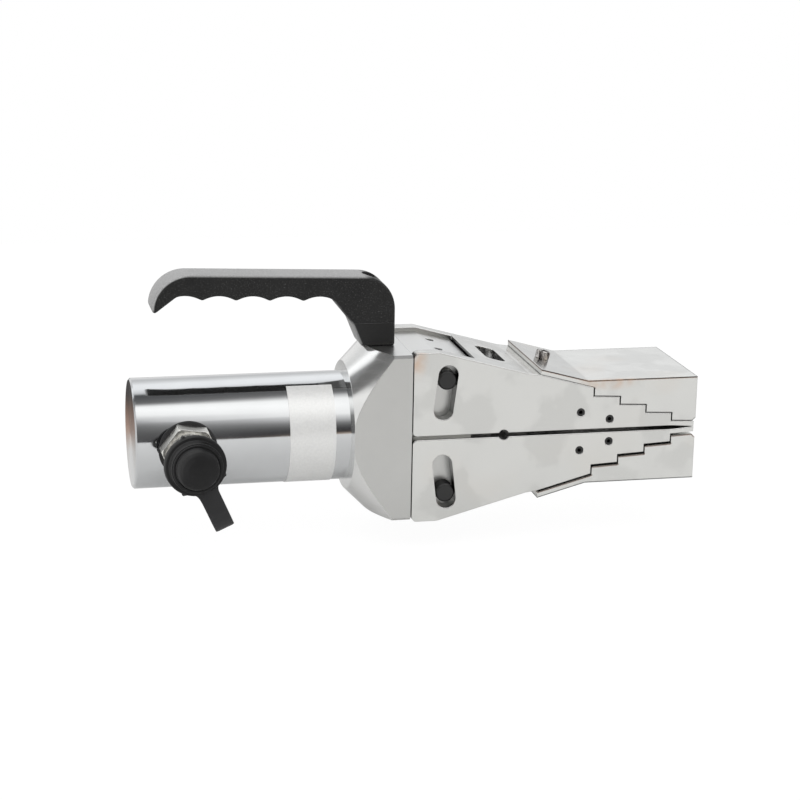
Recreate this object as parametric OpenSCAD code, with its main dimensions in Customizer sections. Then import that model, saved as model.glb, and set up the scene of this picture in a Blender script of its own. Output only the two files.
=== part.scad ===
// Hydraulic flange spreader. A ram drives a wedge between two stepped jaws, which part along
// slanted slots. X runs from the barrel's rear face to the jaw tips and Z runs up to the handle.

/* [Barrel] */
// Outer diameter of the barrel
barrel_d = 65; // [62:0.5:68]
// Bore that the piston runs in
barrel_bore = 50; // [47:0.5:54]
// Length of barrel seen behind the body
barrel_l = 126.5; // [124:0.5:140]
// Thickness of the solid rear end
barrel_end = 42; // [41:0.5:43]
// Length of barrel screwed into the body
barrel_thread = 22; // [18:0.5:24]
// Chamfer round the rear face
barrel_chamfer = 1; // [0.5:0.5:3]

/* [Label] */
// Length of the plain label along the barrel
label_l = 27; // [20:1:40]
// Distance from the label to the body
label_gap = 10; // [6:1:20]
// Angle that the label wraps
label_wrap = 180; // [120:5:240]
// Angle from the near side up to the label's upper edge
label_rise = 62; // [40:1:80]
// Thickness of the label
label_t = 0.3; // [0.2:0.05:0.6]

/* [Body] */
// Width across the flats of the body and the jaws
body_w = 75; // [74:0.5:80]
// Height of the body
body_h = 100; // [98:0.5:102]
// Length of the body behind the jaws
body_l = 34; // [32:0.5:38]
// Diameter of the small end of the rear cone
cone_d = 77; // [74:0.5:82]
// Chamfer along the body's long edges
body_chamfer = 1.5; // [0.5:0.25:2.5]
// Length of the nose between the jaw cheeks
nose_l = 38; // [36:0.5:39]
// Step from the body's top down to the nose
nose_drop = 1.5; // [0.5:0.25:3]

/* [Jaws] */
// Half height of the closed jaws at the rear
jaw_h = 51.2; // [50:0.1:52]
// Length from the body's front to the jaw tip
jaw_l = 173.8; // [172:0.1:176]
// Length of the flat top before the slope
jaw_flat = 16; // [12:0.5:20]
// Slope of the outer faces
jaw_slope = 15.2; // [14.5:0.1:15.6]
// Thickness of a cheek beside the nose
cheek_t = 8.5; // [7.5:0.25:10]
// Gap between body and jaws
jaw_gap = 0.7; // [0.5:0.1:1]
// Gap between the closed jaws
split_gap = 2.5; // [1.5:0.1:3]
// Gap between the closed tips
tip_gap = 0.3; // [0.2:0.05:0.6]
// Length of the bevel inside each tip
tip_bevel = 14; // [8:1:20]

/* [Steps] */
// Number of steps on a jaw
steps = 4; // [3:1:4]
// Distance from the body's front to the first riser
step_x = 110; // [109:0.1:111]
// Length of a step
step_pitch = 16.4; // [15.5:0.1:17]
// Height of a riser
step_rise = 4.85; // [4.5:0.05:5]
// Height of the first riser, under the block's leg
first_rise = 5.6; // [5:0.1:6]
// Fall of each tread towards the tip
tread_angle = 2.97; // [2:0.01:3.2]
// Height of the first tread above the axis
tread_z = 21; // [20.6:0.1:22]
// Distance from the body's front to the first side screw
side_screw_x = 102.6; // [101:0.1:104]
// Height of the first side screw above the axis
side_screw_z = 11.7; // [11:0.1:12.5]
// Distance between the two side screws of a jaw
side_screw_pitch = 18.1; // [16:0.1:19]
// Fall from the first side screw to the second
side_screw_fall = 4.8; // [4:0.1:5]

/* [Step blocks] */
// Height of a block's outer face above the axis
block_h = 31; // [30.5:0.1:32]
// Distance from the body's front to the block's front
block_l = 174.8; // [174:0.1:177]
// Distance from the body's front to the end of the leg
leg_x = 77.4; // [76:0.1:79]
// Thickness of the leg
leg_t = 3.4; // [3:0.1:4]
// Flat land behind the leg
land_l = 7.4; // [6:0.1:9]
// Clearance between a block and the steps
block_fit = 0.3; // [0.2:0.05:0.5]
// Gap between the risers of a block and of its jaw
riser_gap = 0.9; // [0.3:0.1:1.2]
// Drop of the lower block on its screw
block_drop = 1.2; // [0:0.1:1.5]
// Chamfer at the block's front lower edge
block_chamfer = 2; // [1:0.25:3]
// Distance from the end of the leg to the screw
block_screw_in = 10; // [7:0.5:12]

/* [Wedge and keys] */
// Half angle of the wedge
wedge_angle = 24; // [23.5:0.1:24.5]
// Width of the wedge
wedge_w = 40; // [39:0.5:42]
// Length of the wedge
wedge_l = 36; // [34:0.5:38]
// Half height of the wedge's rear face
wedge_h = 29.8; // [29:0.1:30.2]
// Distance from the wedge's rear face to the keys and their pin
key_in = 16.3; // [15.5:0.1:17]
// Gap between nose and wedge
wedge_gap = 1.3; // [1.1:0.1:2]
// Gap between the wedge's slopes and the jaws
ramp_fit = 0.1; // [0.05:0.05:0.2]
// Length of a key along the slope
key_l = 11; // [9:0.25:11.5]
// Width of a key's head
key_w = 33; // [31:0.25:33.5]
// Width of a key's neck
key_neck_w = 17.6; // [16:0.25:20]
// Height of a key's neck
key_neck_h = 5.4; // [4.8:0.1:5.6]
// Height of a key's head
key_head_h = 6; // [5:0.1:6.2]
// Clearance round a key
key_fit = 0.3; // [0.2:0.05:0.4]

/* [Jaw slots and pins] */
// Diameter of a jaw pin
pin_d = 11.4; // [10.5:0.1:11.6]
// Clearance of a pin in its slot, all round
slot_fit = 0.3; // [0.2:0.05:0.5]
// Distance from the body's front to the pins
pin_x = 20.85; // [20:0.05:22]
// Height of the pins above and below the axis
pin_z = 34.2; // [33.6:0.1:34.6]
// Slant of the slots, which the jaws follow
slot_angle = 7.06; // [6:0.01:8]
// Travel of each jaw along its slot
jaw_travel = 17.4; // [15:0.1:17.6]
// Spare slot beyond the pin when closed
slot_spare = 3.4; // [1:0.1:4]

/* [Ram] */
// Diameter of the ram rod
rod_d = 28; // [26:0.5:30]
// Length of the piston
piston_l = 20; // [18:0.5:22]
// Running clearance of rod and piston, each side
running_fit = 0.05; // [0.02:0.01:0.08]
// Diameter of the rod's spigot in the wedge
spigot_d = 20; // [18:0.5:22]
// Length of the spigot
spigot_l = 24; // [22:0.5:26]
// Diameter of the pin through wedge and spigot
wedge_pin_d = 6; // [5:0.25:6.5]
// Wire of the return spring
spring_wire = 4; // [3:0.25:4.5]
// Mean diameter of the return spring
spring_d = 39; // [36:0.5:41]
// Turns of the return spring
spring_turns = 5; // [4:0.5:5.5]

/* [Handle] */
// Width of the handle
handle_w = 23; // [20:0.5:26]
// Height of the handle's top above the body
handle_h = 42; // [40:0.5:46]
// Height of the foot under the grip
foot_h = 14; // [10:0.5:18]
// Length of the foot along the body
foot_l = 20; // [18:0.5:22]
// Distance from the foot's front to the body's front
foot_in = 5.3; // [4:0.1:8]
// Distance from the foot's front to the nose of the hook
handle_l = 143; // [140:0.5:146]
// Rise of the grip towards its nose
grip_tilt = 2; // [0:0.25:4]
// Thickness of the grip at a finger groove
grip_t = 12.4; // [11:0.2:14]
// Depth of a finger groove
groove_depth = 2.8; // [1.5:0.1:3.5]
// Length of a finger groove
groove_pitch = 19.7; // [18:0.1:20]
// Number of finger grooves
grooves = 5; // [4:1:5]
// Distance from the nose of the hook to the middle of the first groove
groove_in = 19.5; // [18:0.5:24]

/* [Hydraulic coupler] */
// Distance from the rear face to the coupler
port_x = 29.3; // [28:0.1:31]
// Diameter of the spot face on the barrel
spot_d = 28; // [27.5:0.1:30]
// Diameter of the sealing washer
washer_d = 27; // [25:0.25:27.25]
// Thickness of the sealing washer
washer_t = 2; // [1:0.1:2.5]
// Diameter of the neck between the washer and the hexagon
neck_d = 22; // [20:0.5:24]
// Length of the neck, which the strap's eye sits on
neck_l = 8.6; // [6:0.2:10]
// Hexagon across flats
hex_af = 29; // [26:0.5:29.5]
// Thickness of the hexagon
hex_t = 10.5; // [8:0.5:12]
// Turn of the hexagon from a level flat
hex_turn = -8; // [-30:1:30]
// Diameter of the coupler's sleeve
sleeve_d = 26.5; // [24:0.25:27]
// Length of the sleeve
sleeve_l = 11.5; // [10.5:0.5:13]
// Diameter of the coupler's nose
mouth_d = 24.4; // [22:0.1:24.6]
// Length of the coupler's nose
mouth_l = 11; // [9:0.5:12]

/* [Dust cap] */
// Diameter of the cap's flange
flange_d = 35.2; // [34:0.1:37]
// Thickness of the cap's flange
flange_t = 4; // [3:0.25:5]
// Diameter of the cap's middle step
boss_d = 29.4; // [28.5:0.1:31]
// Diameter of the cap's domed end
dome_d = 24; // [22:0.5:26]
// Height of each step of the cap
cap_step = 5.5; // [4.5:0.25:7]
// Width of the strap
strap_w = 11.3; // [8:0.1:12.5]
// Thickness of the strap
strap_t = 2; // [1.5:0.1:2.5]
// Distance from the cap's centre to the strap's fold
strap_reach = 44.5; // [38:0.5:48]
// Lean of the strap from straight down
strap_lean = 24; // [10:1:40]
// Diameter of the strap's eye round the coupler's neck
eye_d = 34; // [30:0.5:36]

/* [Hidden] */
$fn = 96;

cut = 1;              // overrun of a cut past the face that it opens
thread_fit = 0.03;    // gap round a screw in its hole
seat_fit = 0.02;      // gap under a ring, pin or label on its seat
joint_x = barrel_l + body_l;
socket_share = 0.5;   // hexagon socket of a screw as a share of its head

// Places along the ram
home_gap = 2;         // oil space behind the piston when it is home
thread_end = barrel_l + barrel_thread;
piston_x = barrel_end + home_gap;
piston_front = piston_x + piston_l;
bush_l = 20;
bush_x = thread_end - bush_l;
wedge_x = nose_l + wedge_gap;
key_x = wedge_x + key_in;

// Rise of the jaws for a push of the ram
jaw_rise = jaw_travel * cos(slot_angle);
jaw_forward = jaw_travel * sin(slot_angle);
ram_stroke = jaw_rise / tan(wedge_angle) + jaw_forward;
key_travel = (ram_stroke - jaw_forward) / cos(wedge_angle);

// Grooves and small parts of the ram
seal_w = 5;
seal_depth = 4;
wear_depth = 2;
nut_d = 26;
nut_t = 6;
nut_in = 1;           // recess of the nut below the piston's rear face
nut_room = 1;         // gap round the nut
stud_d = 18;
seal_gap = 1;         // distance of each groove from the piston's middle
pin_edge = 1;         // chamfer at the end of a jaw pin
pin_inset = 1;        // recess of the wedge pin below the wedge's sides
hex_edge = 1;         // depth of the chamfer on the hexagon's corners
mouth_bore_share = 0.66;
window_corner_share = 0.4;
screw_place_share = 0.55;
screw_depth_share = 1.5;
slot_run = 1.2;       // spare length at each end of a T slot
wiper_w = 4;
wiper_d = rod_d + 2 * seal_depth;
rod_hole_gap = 0.3;
oil_d = 6;
port_thread_d = 17;
port_thread_l = 16;

// Screws
block_screw_d = 5;
block_screw_l = 12;
block_hole_fit = 0.5; // slack of a block screw in the block's leg
screw_head_share = 1.7;
side_screw_d = 5;
side_screw_l = 8;
side_screw_in = 0.3;
lock_screw_d = 5;
lock_screw_y = 11.6;
key_screw_d = 4;
key_screw_y = 4.6;
handle_screw_d = 8;
handle_screw_grip = 14;
bore_land = 3;

// Heights of the jaw's outer surface
function slope_z(x) = jaw_h - (x - jaw_flat) * tan(jaw_slope);
function seat_z(x) = tread_z + first_rise + (step_x - x) * tan(jaw_slope);
function riser_x(i) = step_x + i * step_pitch;
function tread_at(i, x) = tread_z - i * step_rise - (x - step_x) * tan(tread_angle);
function ramp_at(x) = wedge_h - (x - wedge_x) * tan(wedge_angle);
function arc(cx, cz, r, from, to, n = 6) =
    [for (k = [0:n]) [cx + r * cos(from + (to - from) * k / n), cz + r * sin(from + (to - from) * k / n)]];

// Extrudes an outline drawn in X and Z across the tool, centred on Y
module across(w) rotate([90, 0, 0]) linear_extrude(height = w, center = true) children();
module along_y(d, l) rotate([90, 0, 0]) cylinder(d = d, h = l, center = true);
module along_x(d, l) rotate([0, 90, 0]) cylinder(d = d, h = l);
module mirrored() { children(); mirror([0, 0, 1]) children(); }
module on_ramp() translate([joint_x + key_x, 0, ramp_at(key_x)]) rotate([0, wedge_angle, 0]) children();
module on_port(r) translate([port_x, -r, 0]) rotate([90, 0, 0]) children();

// Headless screw with its socket at the origin and its point towards -Z
module set_screw(d, l) difference() {
    translate([0, 0, -l]) cylinder(d = d - 2 * thread_fit, h = l);
    translate([0, 0, -l * socket_share]) cylinder(d = d * socket_share, h = l, $fn = 6);
}

// Cap screw with the underside of its head at the origin
module cap_screw(d, head_l, l) difference() {
    union() {
        cylinder(d = d * screw_head_share, h = head_l);
        translate([0, 0, -l]) cylinder(d = d - 2 * thread_fit, h = l + head_l / 2);
    }
    translate([0, 0, head_l * socket_share]) cylinder(d = d, h = head_l, $fn = 6);
}

// Body: block with a turned rear cone, and the nose that carries the two jaw pins
module body_profile() {
    y = body_w / 2;
    z = body_h / 2;
    c = body_chamfer;
    polygon([[y - c, z], [y, z - c], [y, c - z], [y - c, -z], [c - y, -z], [-y, c - z], [-y, z - c], [c - y, z]]);
}

nose_top = body_h / 2 - nose_drop;
nose_w = body_w - 2 * (cheek_t + slot_fit);

module nose_outline() {
    tip_z = nose_top - (nose_l - jaw_flat) * tan(jaw_slope);
    polygon([[-cut, -nose_top], [jaw_flat, -nose_top], [nose_l, -tip_z],
        [nose_l, tip_z], [jaw_flat, nose_top], [-cut, nose_top]]);
}

function nose_z(x) = nose_top - max(0, x - jaw_flat) * tan(jaw_slope);

module body_block() color("silver") difference() {
    union() {
        intersection() {
            translate([barrel_l, 0, 0]) rotate([90, 0, 90]) linear_extrude(height = body_l) body_profile();
            translate([barrel_l, 0, 0]) rotate([0, 90, 0])
                cylinder(d1 = cone_d, d2 = cone_d + 2 * (body_l + cut), h = body_l + cut);
        }
        translate([joint_x, 0, 0]) across(nose_w) nose_outline();
    }
    translate([barrel_l - cut, 0, 0]) along_x(barrel_d, barrel_thread + cut);
    translate([barrel_l, 0, 0]) along_x(rod_d + 2 * rod_hole_gap, body_l + nose_l + cut);
    translate([joint_x + nose_l - wiper_w, 0, 0]) along_x(wiper_d, wiper_w + cut);
    mirrored() {
        translate([joint_x + pin_x, 0, pin_z]) along_y(pin_d, nose_w + 2 * cut);
        for (side = [-1, 1]) translate([joint_x + pin_x, side * lock_screw_y, pin_z])
            cylinder(d = lock_screw_d, h = body_h / 2);
    }
    translate([screw_x, 0, barrel_d / 2 + bore_land / 2]) cylinder(d = handle_screw_d, h = body_h / 2);
}

module jaw_pin() translate([joint_x + pin_x, 0, pin_z]) {
    l = body_w - 2 * side_screw_in;
    rotate([90, 0, 0]) {
        cylinder(d = pin_d - 2 * seat_fit, h = l - 2 * pin_edge, center = true);
        for (side = [0, 1]) mirror([0, 0, side]) translate([0, 0, l / 2 - pin_edge])
            cylinder(d1 = pin_d - 2 * seat_fit, d2 = pin_d - 2 * pin_edge, h = pin_edge);
    }
}
module upper_jaw_pin() color("dimgray") jaw_pin();
module lower_jaw_pin() color("dimgray") mirror([0, 0, 1]) jaw_pin();

module pin_lock_screws() color("dimgray") mirrored()
    for (side = [-1, 1]) translate([joint_x + pin_x, side * lock_screw_y, nose_z(pin_x) - side_screw_in])
        set_screw(lock_screw_d, nose_z(pin_x) - side_screw_in - pin_z - pin_d / 2);

// Barrel: bored from the front, solid at the rear where the coupler screws in
spot_r = sqrt(pow(barrel_d / 2, 2) - pow(spot_d / 2, 2)) + seat_fit;

module barrel() color("gainsboro") difference() {
    rotate([0, 90, 0]) union() {
        cylinder(d1 = barrel_d - 2 * barrel_chamfer, d2 = barrel_d, h = barrel_chamfer);
        translate([0, 0, barrel_chamfer])
            cylinder(d = barrel_d - 2 * seat_fit, h = thread_end - barrel_chamfer - seat_fit);
    }
    translate([barrel_end, 0, 0]) along_x(barrel_bore, thread_end);
    translate([port_x, 0, 0]) along_x(oil_d, barrel_end);
    on_port(spot_r) cylinder(d = spot_d, h = barrel_d);
    on_port(spot_r - port_thread_l) cylinder(d = port_thread_d, h = barrel_d);
    on_port(0) cylinder(d = oil_d, h = barrel_d);
}

// Plain label, a curved plate round the near side of the barrel
module barrel_label() color("whitesmoke") {
    start = barrel_l - label_gap - label_l;
    r = barrel_d / 2 + seat_fit;
    translate([start, 0, 0]) rotate([0, 90, 0]) rotate([0, 0, -90 - label_rise])
        rotate_extrude(angle = label_wrap) translate([r, 0]) square([label_t, label_l]);
}

// Coupler half on the side of the barrel
washer_r = spot_r + washer_t;
neck_r = washer_r + neck_l;
hex_r = neck_r + hex_t;
sleeve_r = hex_r + sleeve_l;
mouth_r = sleeve_r + mouth_l;
mouth_bore = mouth_d * mouth_bore_share;

module coupler_washer() color("black") on_port(spot_r) difference() {
    cylinder(d = washer_d, h = washer_t);
    translate([0, 0, -cut]) cylinder(d = port_thread_d, h = washer_t + 2 * cut);
}

module coupler_body() color("lightgray") difference() {
    corner_d = hex_af / cos(30);
    union() {
        on_port(spot_r - port_thread_l + home_gap)
            cylinder(d = port_thread_d - 2 * thread_fit, h = port_thread_l + washer_t);
        on_port(washer_r) cylinder(d = neck_d, h = neck_l + cut);
        on_port(neck_r) rotate([0, 0, hex_turn]) intersection() {
            cylinder(d = corner_d, h = hex_t, $fn = 6);
            cylinder(d1 = corner_d - 2 * hex_edge + 2 * hex_t, d2 = corner_d - 2 * hex_edge, h = hex_t);
        }
        on_port(hex_r - cut) cylinder(d = sleeve_d, h = sleeve_l + cut);
        on_port(sleeve_r - cut) cylinder(d = mouth_d, h = mouth_l + cut);
    }
    on_port(0) cylinder(d = oil_d, h = sleeve_r + cut);
    on_port(sleeve_r) cylinder(d = mouth_bore, h = mouth_l + cut);
}

// Dust cap over the coupler's mouth, and the strap that keeps it
cap_r = sleeve_r + strap_t + key_fit;
dome_r = cap_r + flange_t + 2 * cap_step;
dome_edge = 1;
eye_r = neck_r - seat_fit - strap_t;
fold_r = (cap_r - eye_r) / 2;
eye_in = 3;           // how far the strap runs into its eye

module dust_cap() color([0.18, 0.18, 0.18]) difference() {
    union() {
        on_port(cap_r) cylinder(d = flange_d, h = flange_t);
        on_port(cap_r + flange_t) cylinder(d = boss_d, h = cap_step);
        on_port(cap_r + flange_t + cap_step) cylinder(d = dome_d, h = cap_step - dome_edge);
        on_port(dome_r - dome_edge) cylinder(d1 = dome_d, d2 = dome_d - 2 * dome_edge, h = dome_edge);
    }
    on_port(cap_r - cut) cylinder(d = mouth_d + 2 * slot_fit, h = mouth_r - cap_r + cut + slot_fit);
}

// The strap's centre line: out along the cap's flange, round a fold and back to its eye
module strap_band() {
    outer = cap_r + strap_t;
    inner = eye_r;
    eye_x = eye_d / 2 - eye_in;
    fold_c = strap_reach - fold_r;
    mid = (outer + inner) / 2;
    polygon(concat([[flange_d / 2 + slot_fit, outer]],
        arc(fold_c, mid, (outer - inner) / 2, 90, -90, 16),
        [[eye_x, inner], [eye_x, inner + strap_t]],
        arc(fold_c, mid, (outer - inner) / 2 - strap_t, -90, 90, 16),
        [[flange_d / 2 + slot_fit, outer - strap_t]]));
}

module cap_strap() color([0.18, 0.18, 0.18]) {
    translate([port_x, 0, 0]) rotate([0, 90 - strap_lean, 0])
        mirror([0, 1, 0]) translate([0, 0, -strap_w / 2]) linear_extrude(height = strap_w) strap_band();
    on_port(eye_r) difference() {
        cylinder(d = eye_d, h = strap_t);
        translate([0, 0, -cut]) cylinder(d = neck_d + 2 * slot_fit, h = strap_t + 2 * cut);
    }
}

// Handle: foot on the body and an open hook of a grip with finger grooves under it
handle_z = body_h / 2;
foot_front = joint_x - foot_in;
screw_x = foot_front - foot_l * screw_place_share;
nose_r = 21;
nose_edge = 1;        // rounding of the hook's lower tip
shoulder_r = 20;
groove_start = handle_l - groove_in;
web_shares = [[0.75, 0.8], [0.34, 0.5], [0, 0]];

function grip_top(x) = handle_h + (x - shoulder_r) * tan(grip_tilt);
function grip_under(x, share) = grip_top(x) - grip_t - groove_depth * pow(share, 2);

// Drawn with its own x running back from the foot's front, and z up from the body
module handle_outline() {
    groove_n = 8;
    tip_z = grip_top(handle_l) - nose_r;
    web_x = groove_start - (grooves - 1 + 3 / groove_n) * groove_pitch - foot_l;
    web_z = grip_under(web_x + foot_l, 2 * 3 / groove_n);
    polygon(concat([[0, 0], [0, handle_h - shoulder_r]],
        arc(shoulder_r, handle_h - shoulder_r, shoulder_r, 180, 90, 10),
        arc(handle_l - nose_r, grip_top(handle_l - nose_r) - nose_r, nose_r, 90, 5, 12),
        [[handle_l - nose_edge / 2, tip_z - nose_edge], [handle_l - 2 * nose_edge, tip_z - 2 * nose_edge]],
        [for (i = [0:grooves - 1]) for (k = [0:groove_n])
            let (share = 2 * k / groove_n - 1, x = groove_start - (i + share / 2) * groove_pitch)
            if ((i > 0 || share >= -0.5) && (i < grooves - 1 || share <= 0.75)) [x, grip_under(x, share)]],
        [for (w = web_shares) [foot_l + w[0] * web_x, w[1] * web_z]]));
}

module handle_slab(bottom, top) translate([foot_front, 0, handle_z]) mirror([1, 0, 0]) across(handle_w)
    intersection() {
        handle_outline();
        translate([-cut, bottom]) square([handle_l + 2 * cut, top - bottom]);
    }

module screw_bore(head_z) translate([screw_x, 0, 0]) {
    translate([0, 0, handle_z - cut]) cylinder(d = handle_screw_d + 2 * slot_fit, h = handle_h);
    translate([0, 0, head_z]) cylinder(d = handle_screw_d * screw_head_share + 2 * slot_fit, h = handle_h);
}

screw_seat = handle_z + handle_h - handle_screw_d - grip_t;

module handle_foot() color([0.15, 0.15, 0.15]) difference() {
    handle_slab(0, foot_h);
    screw_bore(screw_seat);
}

module handle_grip() color([0.17, 0.17, 0.17]) difference() {
    handle_slab(foot_h, handle_h + handle_l);
    screw_bore(screw_seat);
}

module handle_screw() color("dimgray") translate([screw_x, 0, screw_seat])
    cap_screw(handle_screw_d, handle_screw_d, screw_seat - handle_z + handle_screw_grip - bore_land);

// Guide bush and seals that the rod runs through
module guide_bush() color("goldenrod") difference() {
    translate([bush_x, 0, 0]) along_x(barrel_bore - 2 * seat_fit, bush_l - seat_fit);
    translate([bush_x - cut, 0, 0]) along_x(rod_d + 2 * running_fit, bush_l + 2 * cut);
    translate([bush_x + bush_l / 2 - seal_w / 2, 0, 0]) difference() {
        along_x(barrel_bore + cut, seal_w);
        translate([-cut, 0, 0]) along_x(barrel_bore - 2 * wear_depth, seal_w + 2 * cut);
    }
}

module ring(x, outer, inner, w) difference() {
    translate([x, 0, 0]) along_x(outer, w);
    translate([x - cut, 0, 0]) along_x(inner, w + 2 * cut);
}

module bush_seal() color("black")
    ring(bush_x + bush_l / 2 - seal_w / 2 + seat_fit, barrel_bore - 2 * seat_fit,
        barrel_bore - 2 * wear_depth + 2 * seat_fit, seal_w - 2 * seat_fit);

module rod_wiper() color("black")
    ring(joint_x + nose_l - wiper_w + seat_fit, wiper_d - 2 * seat_fit, rod_d + 2 * running_fit, wiper_w - seat_fit);

// Piston with its seal, wear ring and nut
seal_x = piston_x + piston_l / 2 - seal_w - seal_gap;
wear_x = piston_x + piston_l / 2 + seal_gap;
piston_d = barrel_bore - 2 * running_fit;

module piston() color("lightslategray") difference() {
    translate([piston_x, 0, 0]) along_x(piston_d, piston_l);
    translate([piston_x - cut, 0, 0]) along_x(stud_d, piston_l + 2 * cut);
    translate([piston_x - cut, 0, 0]) along_x(nut_d + 2 * nut_room, cut + nut_in + nut_t);
    ring(seal_x, piston_d + cut, piston_d - 2 * seal_depth, seal_w);
    ring(wear_x, piston_d + cut, piston_d - 2 * wear_depth, seal_w);
}

module piston_seal() color("navy")
    ring(seal_x + seat_fit, piston_d, piston_d - 2 * seal_depth + 2 * seat_fit, seal_w - 2 * seat_fit);

module piston_wear_ring() color("tan")
    ring(wear_x + seat_fit, piston_d, piston_d - 2 * wear_depth + 2 * seat_fit, seal_w - 2 * seat_fit);

module piston_nut() color("dimgray") difference() {
    translate([piston_x + nut_in, 0, 0]) rotate([0, 90, 0]) cylinder(d = nut_d, h = nut_t - seat_fit, $fn = 6);
    translate([piston_x, 0, 0]) along_x(stud_d, nut_in + nut_t + cut);
}

module ram_rod() color("silver") difference() {
    union() {
        translate([piston_x + nut_in, 0, 0]) along_x(stud_d - 2 * thread_fit, piston_l);
        translate([piston_front, 0, 0]) along_x(rod_d, joint_x + wedge_x - piston_front);
        translate([joint_x + wedge_x, 0, 0]) along_x(spigot_d, spigot_l);
    }
    translate([joint_x + key_x, 0, 0]) along_y(wedge_pin_d, spigot_d + 2 * cut);
}

// Return spring: a round wire carried along a helix round the rod
module return_spring() {
    sides = 8;
    per_turn = 20;
    n = round(spring_turns * per_turn);
    from_x = piston_front + spring_wire / 2 + seat_fit;
    span = bush_x - spring_wire / 2 - seat_fit - from_x;
    lead = atan(span / (PI * spring_d * spring_turns));
    function wire_point(i, k) = let (a = 360 * i / per_turn, b = 360 * k / sides, r = spring_wire / 2,
        out = spring_d / 2 + r * cos(b), up = r * sin(b))
        [from_x + span * i / n + up * cos(lead), out * cos(a) + up * sin(lead) * sin(a),
            out * sin(a) - up * sin(lead) * cos(a)];
    points = [for (i = [0:n]) for (k = [0:sides - 1]) wire_point(i, k)];
    walls = [for (i = [0:n - 1]) for (k = [0:sides - 1])
        [i * sides + k, (i + 1) * sides + k, (i + 1) * sides + (k + 1) % sides, i * sides + (k + 1) % sides]];
    color("darkgray") polyhedron(points = points, faces = concat([[for (k = [0:sides - 1]) k]], walls,
        [[for (k = [0:sides - 1]) n * sides + sides - 1 - k]]));
}

// Wedge with its two T keys
module wedge_outline() {
    end_x = wedge_x + wedge_l;
    end_z = ramp_at(end_x);
    polygon([[wedge_x, -wedge_h], [end_x, -end_z], [end_x, end_z], [wedge_x, wedge_h]]);
}

module wedge() color("gray") difference() {
    translate([joint_x, 0, 0]) across(wedge_w - 2 * running_fit) wedge_outline();
    translate([joint_x + wedge_x - cut, 0, 0]) along_x(spigot_d + 2 * seat_fit, spigot_l + cut + seat_fit);
    translate([joint_x + key_x, 0, 0]) along_y(wedge_pin_d, wedge_w + 2 * cut);
    mirrored() on_ramp() for (side = [-1, 1]) translate([0, side * key_screw_y, -key_hole_l])
        cylinder(d = key_screw_d, h = key_hole_l + cut);
}

module wedge_pin() color("dimgray") translate([joint_x + key_x, 0, 0])
    along_y(wedge_pin_d - 2 * seat_fit, wedge_w - 2 * pin_inset);

key_h = key_neck_h + key_head_h;
key_hole_l = key_screw_d * screw_depth_share;

module key() on_ramp() difference() {
    union() {
        translate([-key_l / 2, -key_neck_w / 2, 0]) cube([key_l, key_neck_w, key_h]);
        translate([-key_l / 2, -key_w / 2, key_neck_h]) cube([key_l, key_w, key_head_h]);
    }
    for (side = [-1, 1]) translate([0, side * key_screw_y, -cut]) {
        cylinder(d = key_screw_d + 2 * slot_fit, h = key_h + 2 * cut);
        translate([0, 0, cut + key_neck_h]) cylinder(d = key_screw_d * screw_head_share + 2 * slot_fit, h = key_h);
    }
}
module upper_key() color("slategray") key();
module lower_key() color("slategray") mirror([0, 0, 1]) key();

module key_screws() color("dimgray") mirrored() on_ramp()
    for (side = [-1, 1]) translate([0, side * key_screw_y, key_neck_h])
        cap_screw(key_screw_d, key_screw_d, key_neck_h + key_hole_l - pin_inset);

// Jaws: stepped outside, slotted cheeks at the rear, a ramp and a T slot inside
rear_r = 2.5;         // rounding of the rear edge at the split
top_r = 3;            // rounding of the rear edge at the top

module jaw_outline() {
    low = split_gap / 2;
    polygon(concat(arc(jaw_gap + rear_r, low + rear_r, rear_r, 180, 270),
        [[jaw_l - tip_bevel, low], [jaw_l, tip_gap / 2], [jaw_l, tread_at(steps - 1, jaw_l)]],
        [for (i = [steps - 1:-1:0]) each [[riser_x(i), tread_at(i, riser_x(i))],
            [riser_x(i), i > 0 ? tread_at(i - 1, riser_x(i)) : seat_z(step_x)]]],
        [[leg_x, seat_z(leg_x)], [leg_x - land_l, slope_z(leg_x - land_l)], [jaw_flat, jaw_h]],
        arc(jaw_gap + top_r, jaw_h - top_r, top_r, 90, 180)));
}

// Slanted slot of the jaw pin: two round ends joined by a straight stretch
module pin_slot() translate([joint_x + pin_x, 0, pin_z]) rotate([0, slot_angle, 0]) {
    slot_d = pin_d + 2 * slot_fit;
    low = -jaw_travel - slot_fit;
    translate([0, 0, slot_spare]) along_y(slot_d, body_w + 2 * cut);
    translate([0, 0, low]) along_y(slot_d, body_w + 2 * cut);
    translate([-slot_d / 2, -body_w / 2 - cut, low]) cube([slot_d, body_w + 2 * cut, slot_spare - low]);
}

// Window through the slope, over the key
module window() {
    half_l = key_l / 2 + 2 * key_fit;
    half_w = key_w / 2 + key_fit;
    r = key_l * window_corner_share;
    translate([joint_x + key_x, 0, ramp_at(key_x) + key_neck_h + key_head_h / 2]) linear_extrude(height = jaw_h)
        polygon(concat(arc(half_l - r, half_w - r, r, 0, 90), arc(r - half_l, half_w - r, r, 90, 180),
            arc(r - half_l, r - half_w, r, 180, 270), arc(half_l - r, r - half_w, r, 270, 360)));
}

module t_slot() on_ramp() {
    from = -key_l / 2 - slot_run;
    l = key_l + key_travel + 2 * slot_run;
    neck = key_neck_w + 2 * key_fit;
    head = key_w + 2 * key_fit;
    translate([from, -neck / 2, -cut]) cube([l, neck, key_h + cut]);
    translate([from, -head / 2, key_neck_h - key_fit]) cube([l, head, key_head_h + 2 * key_fit]);
}

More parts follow.
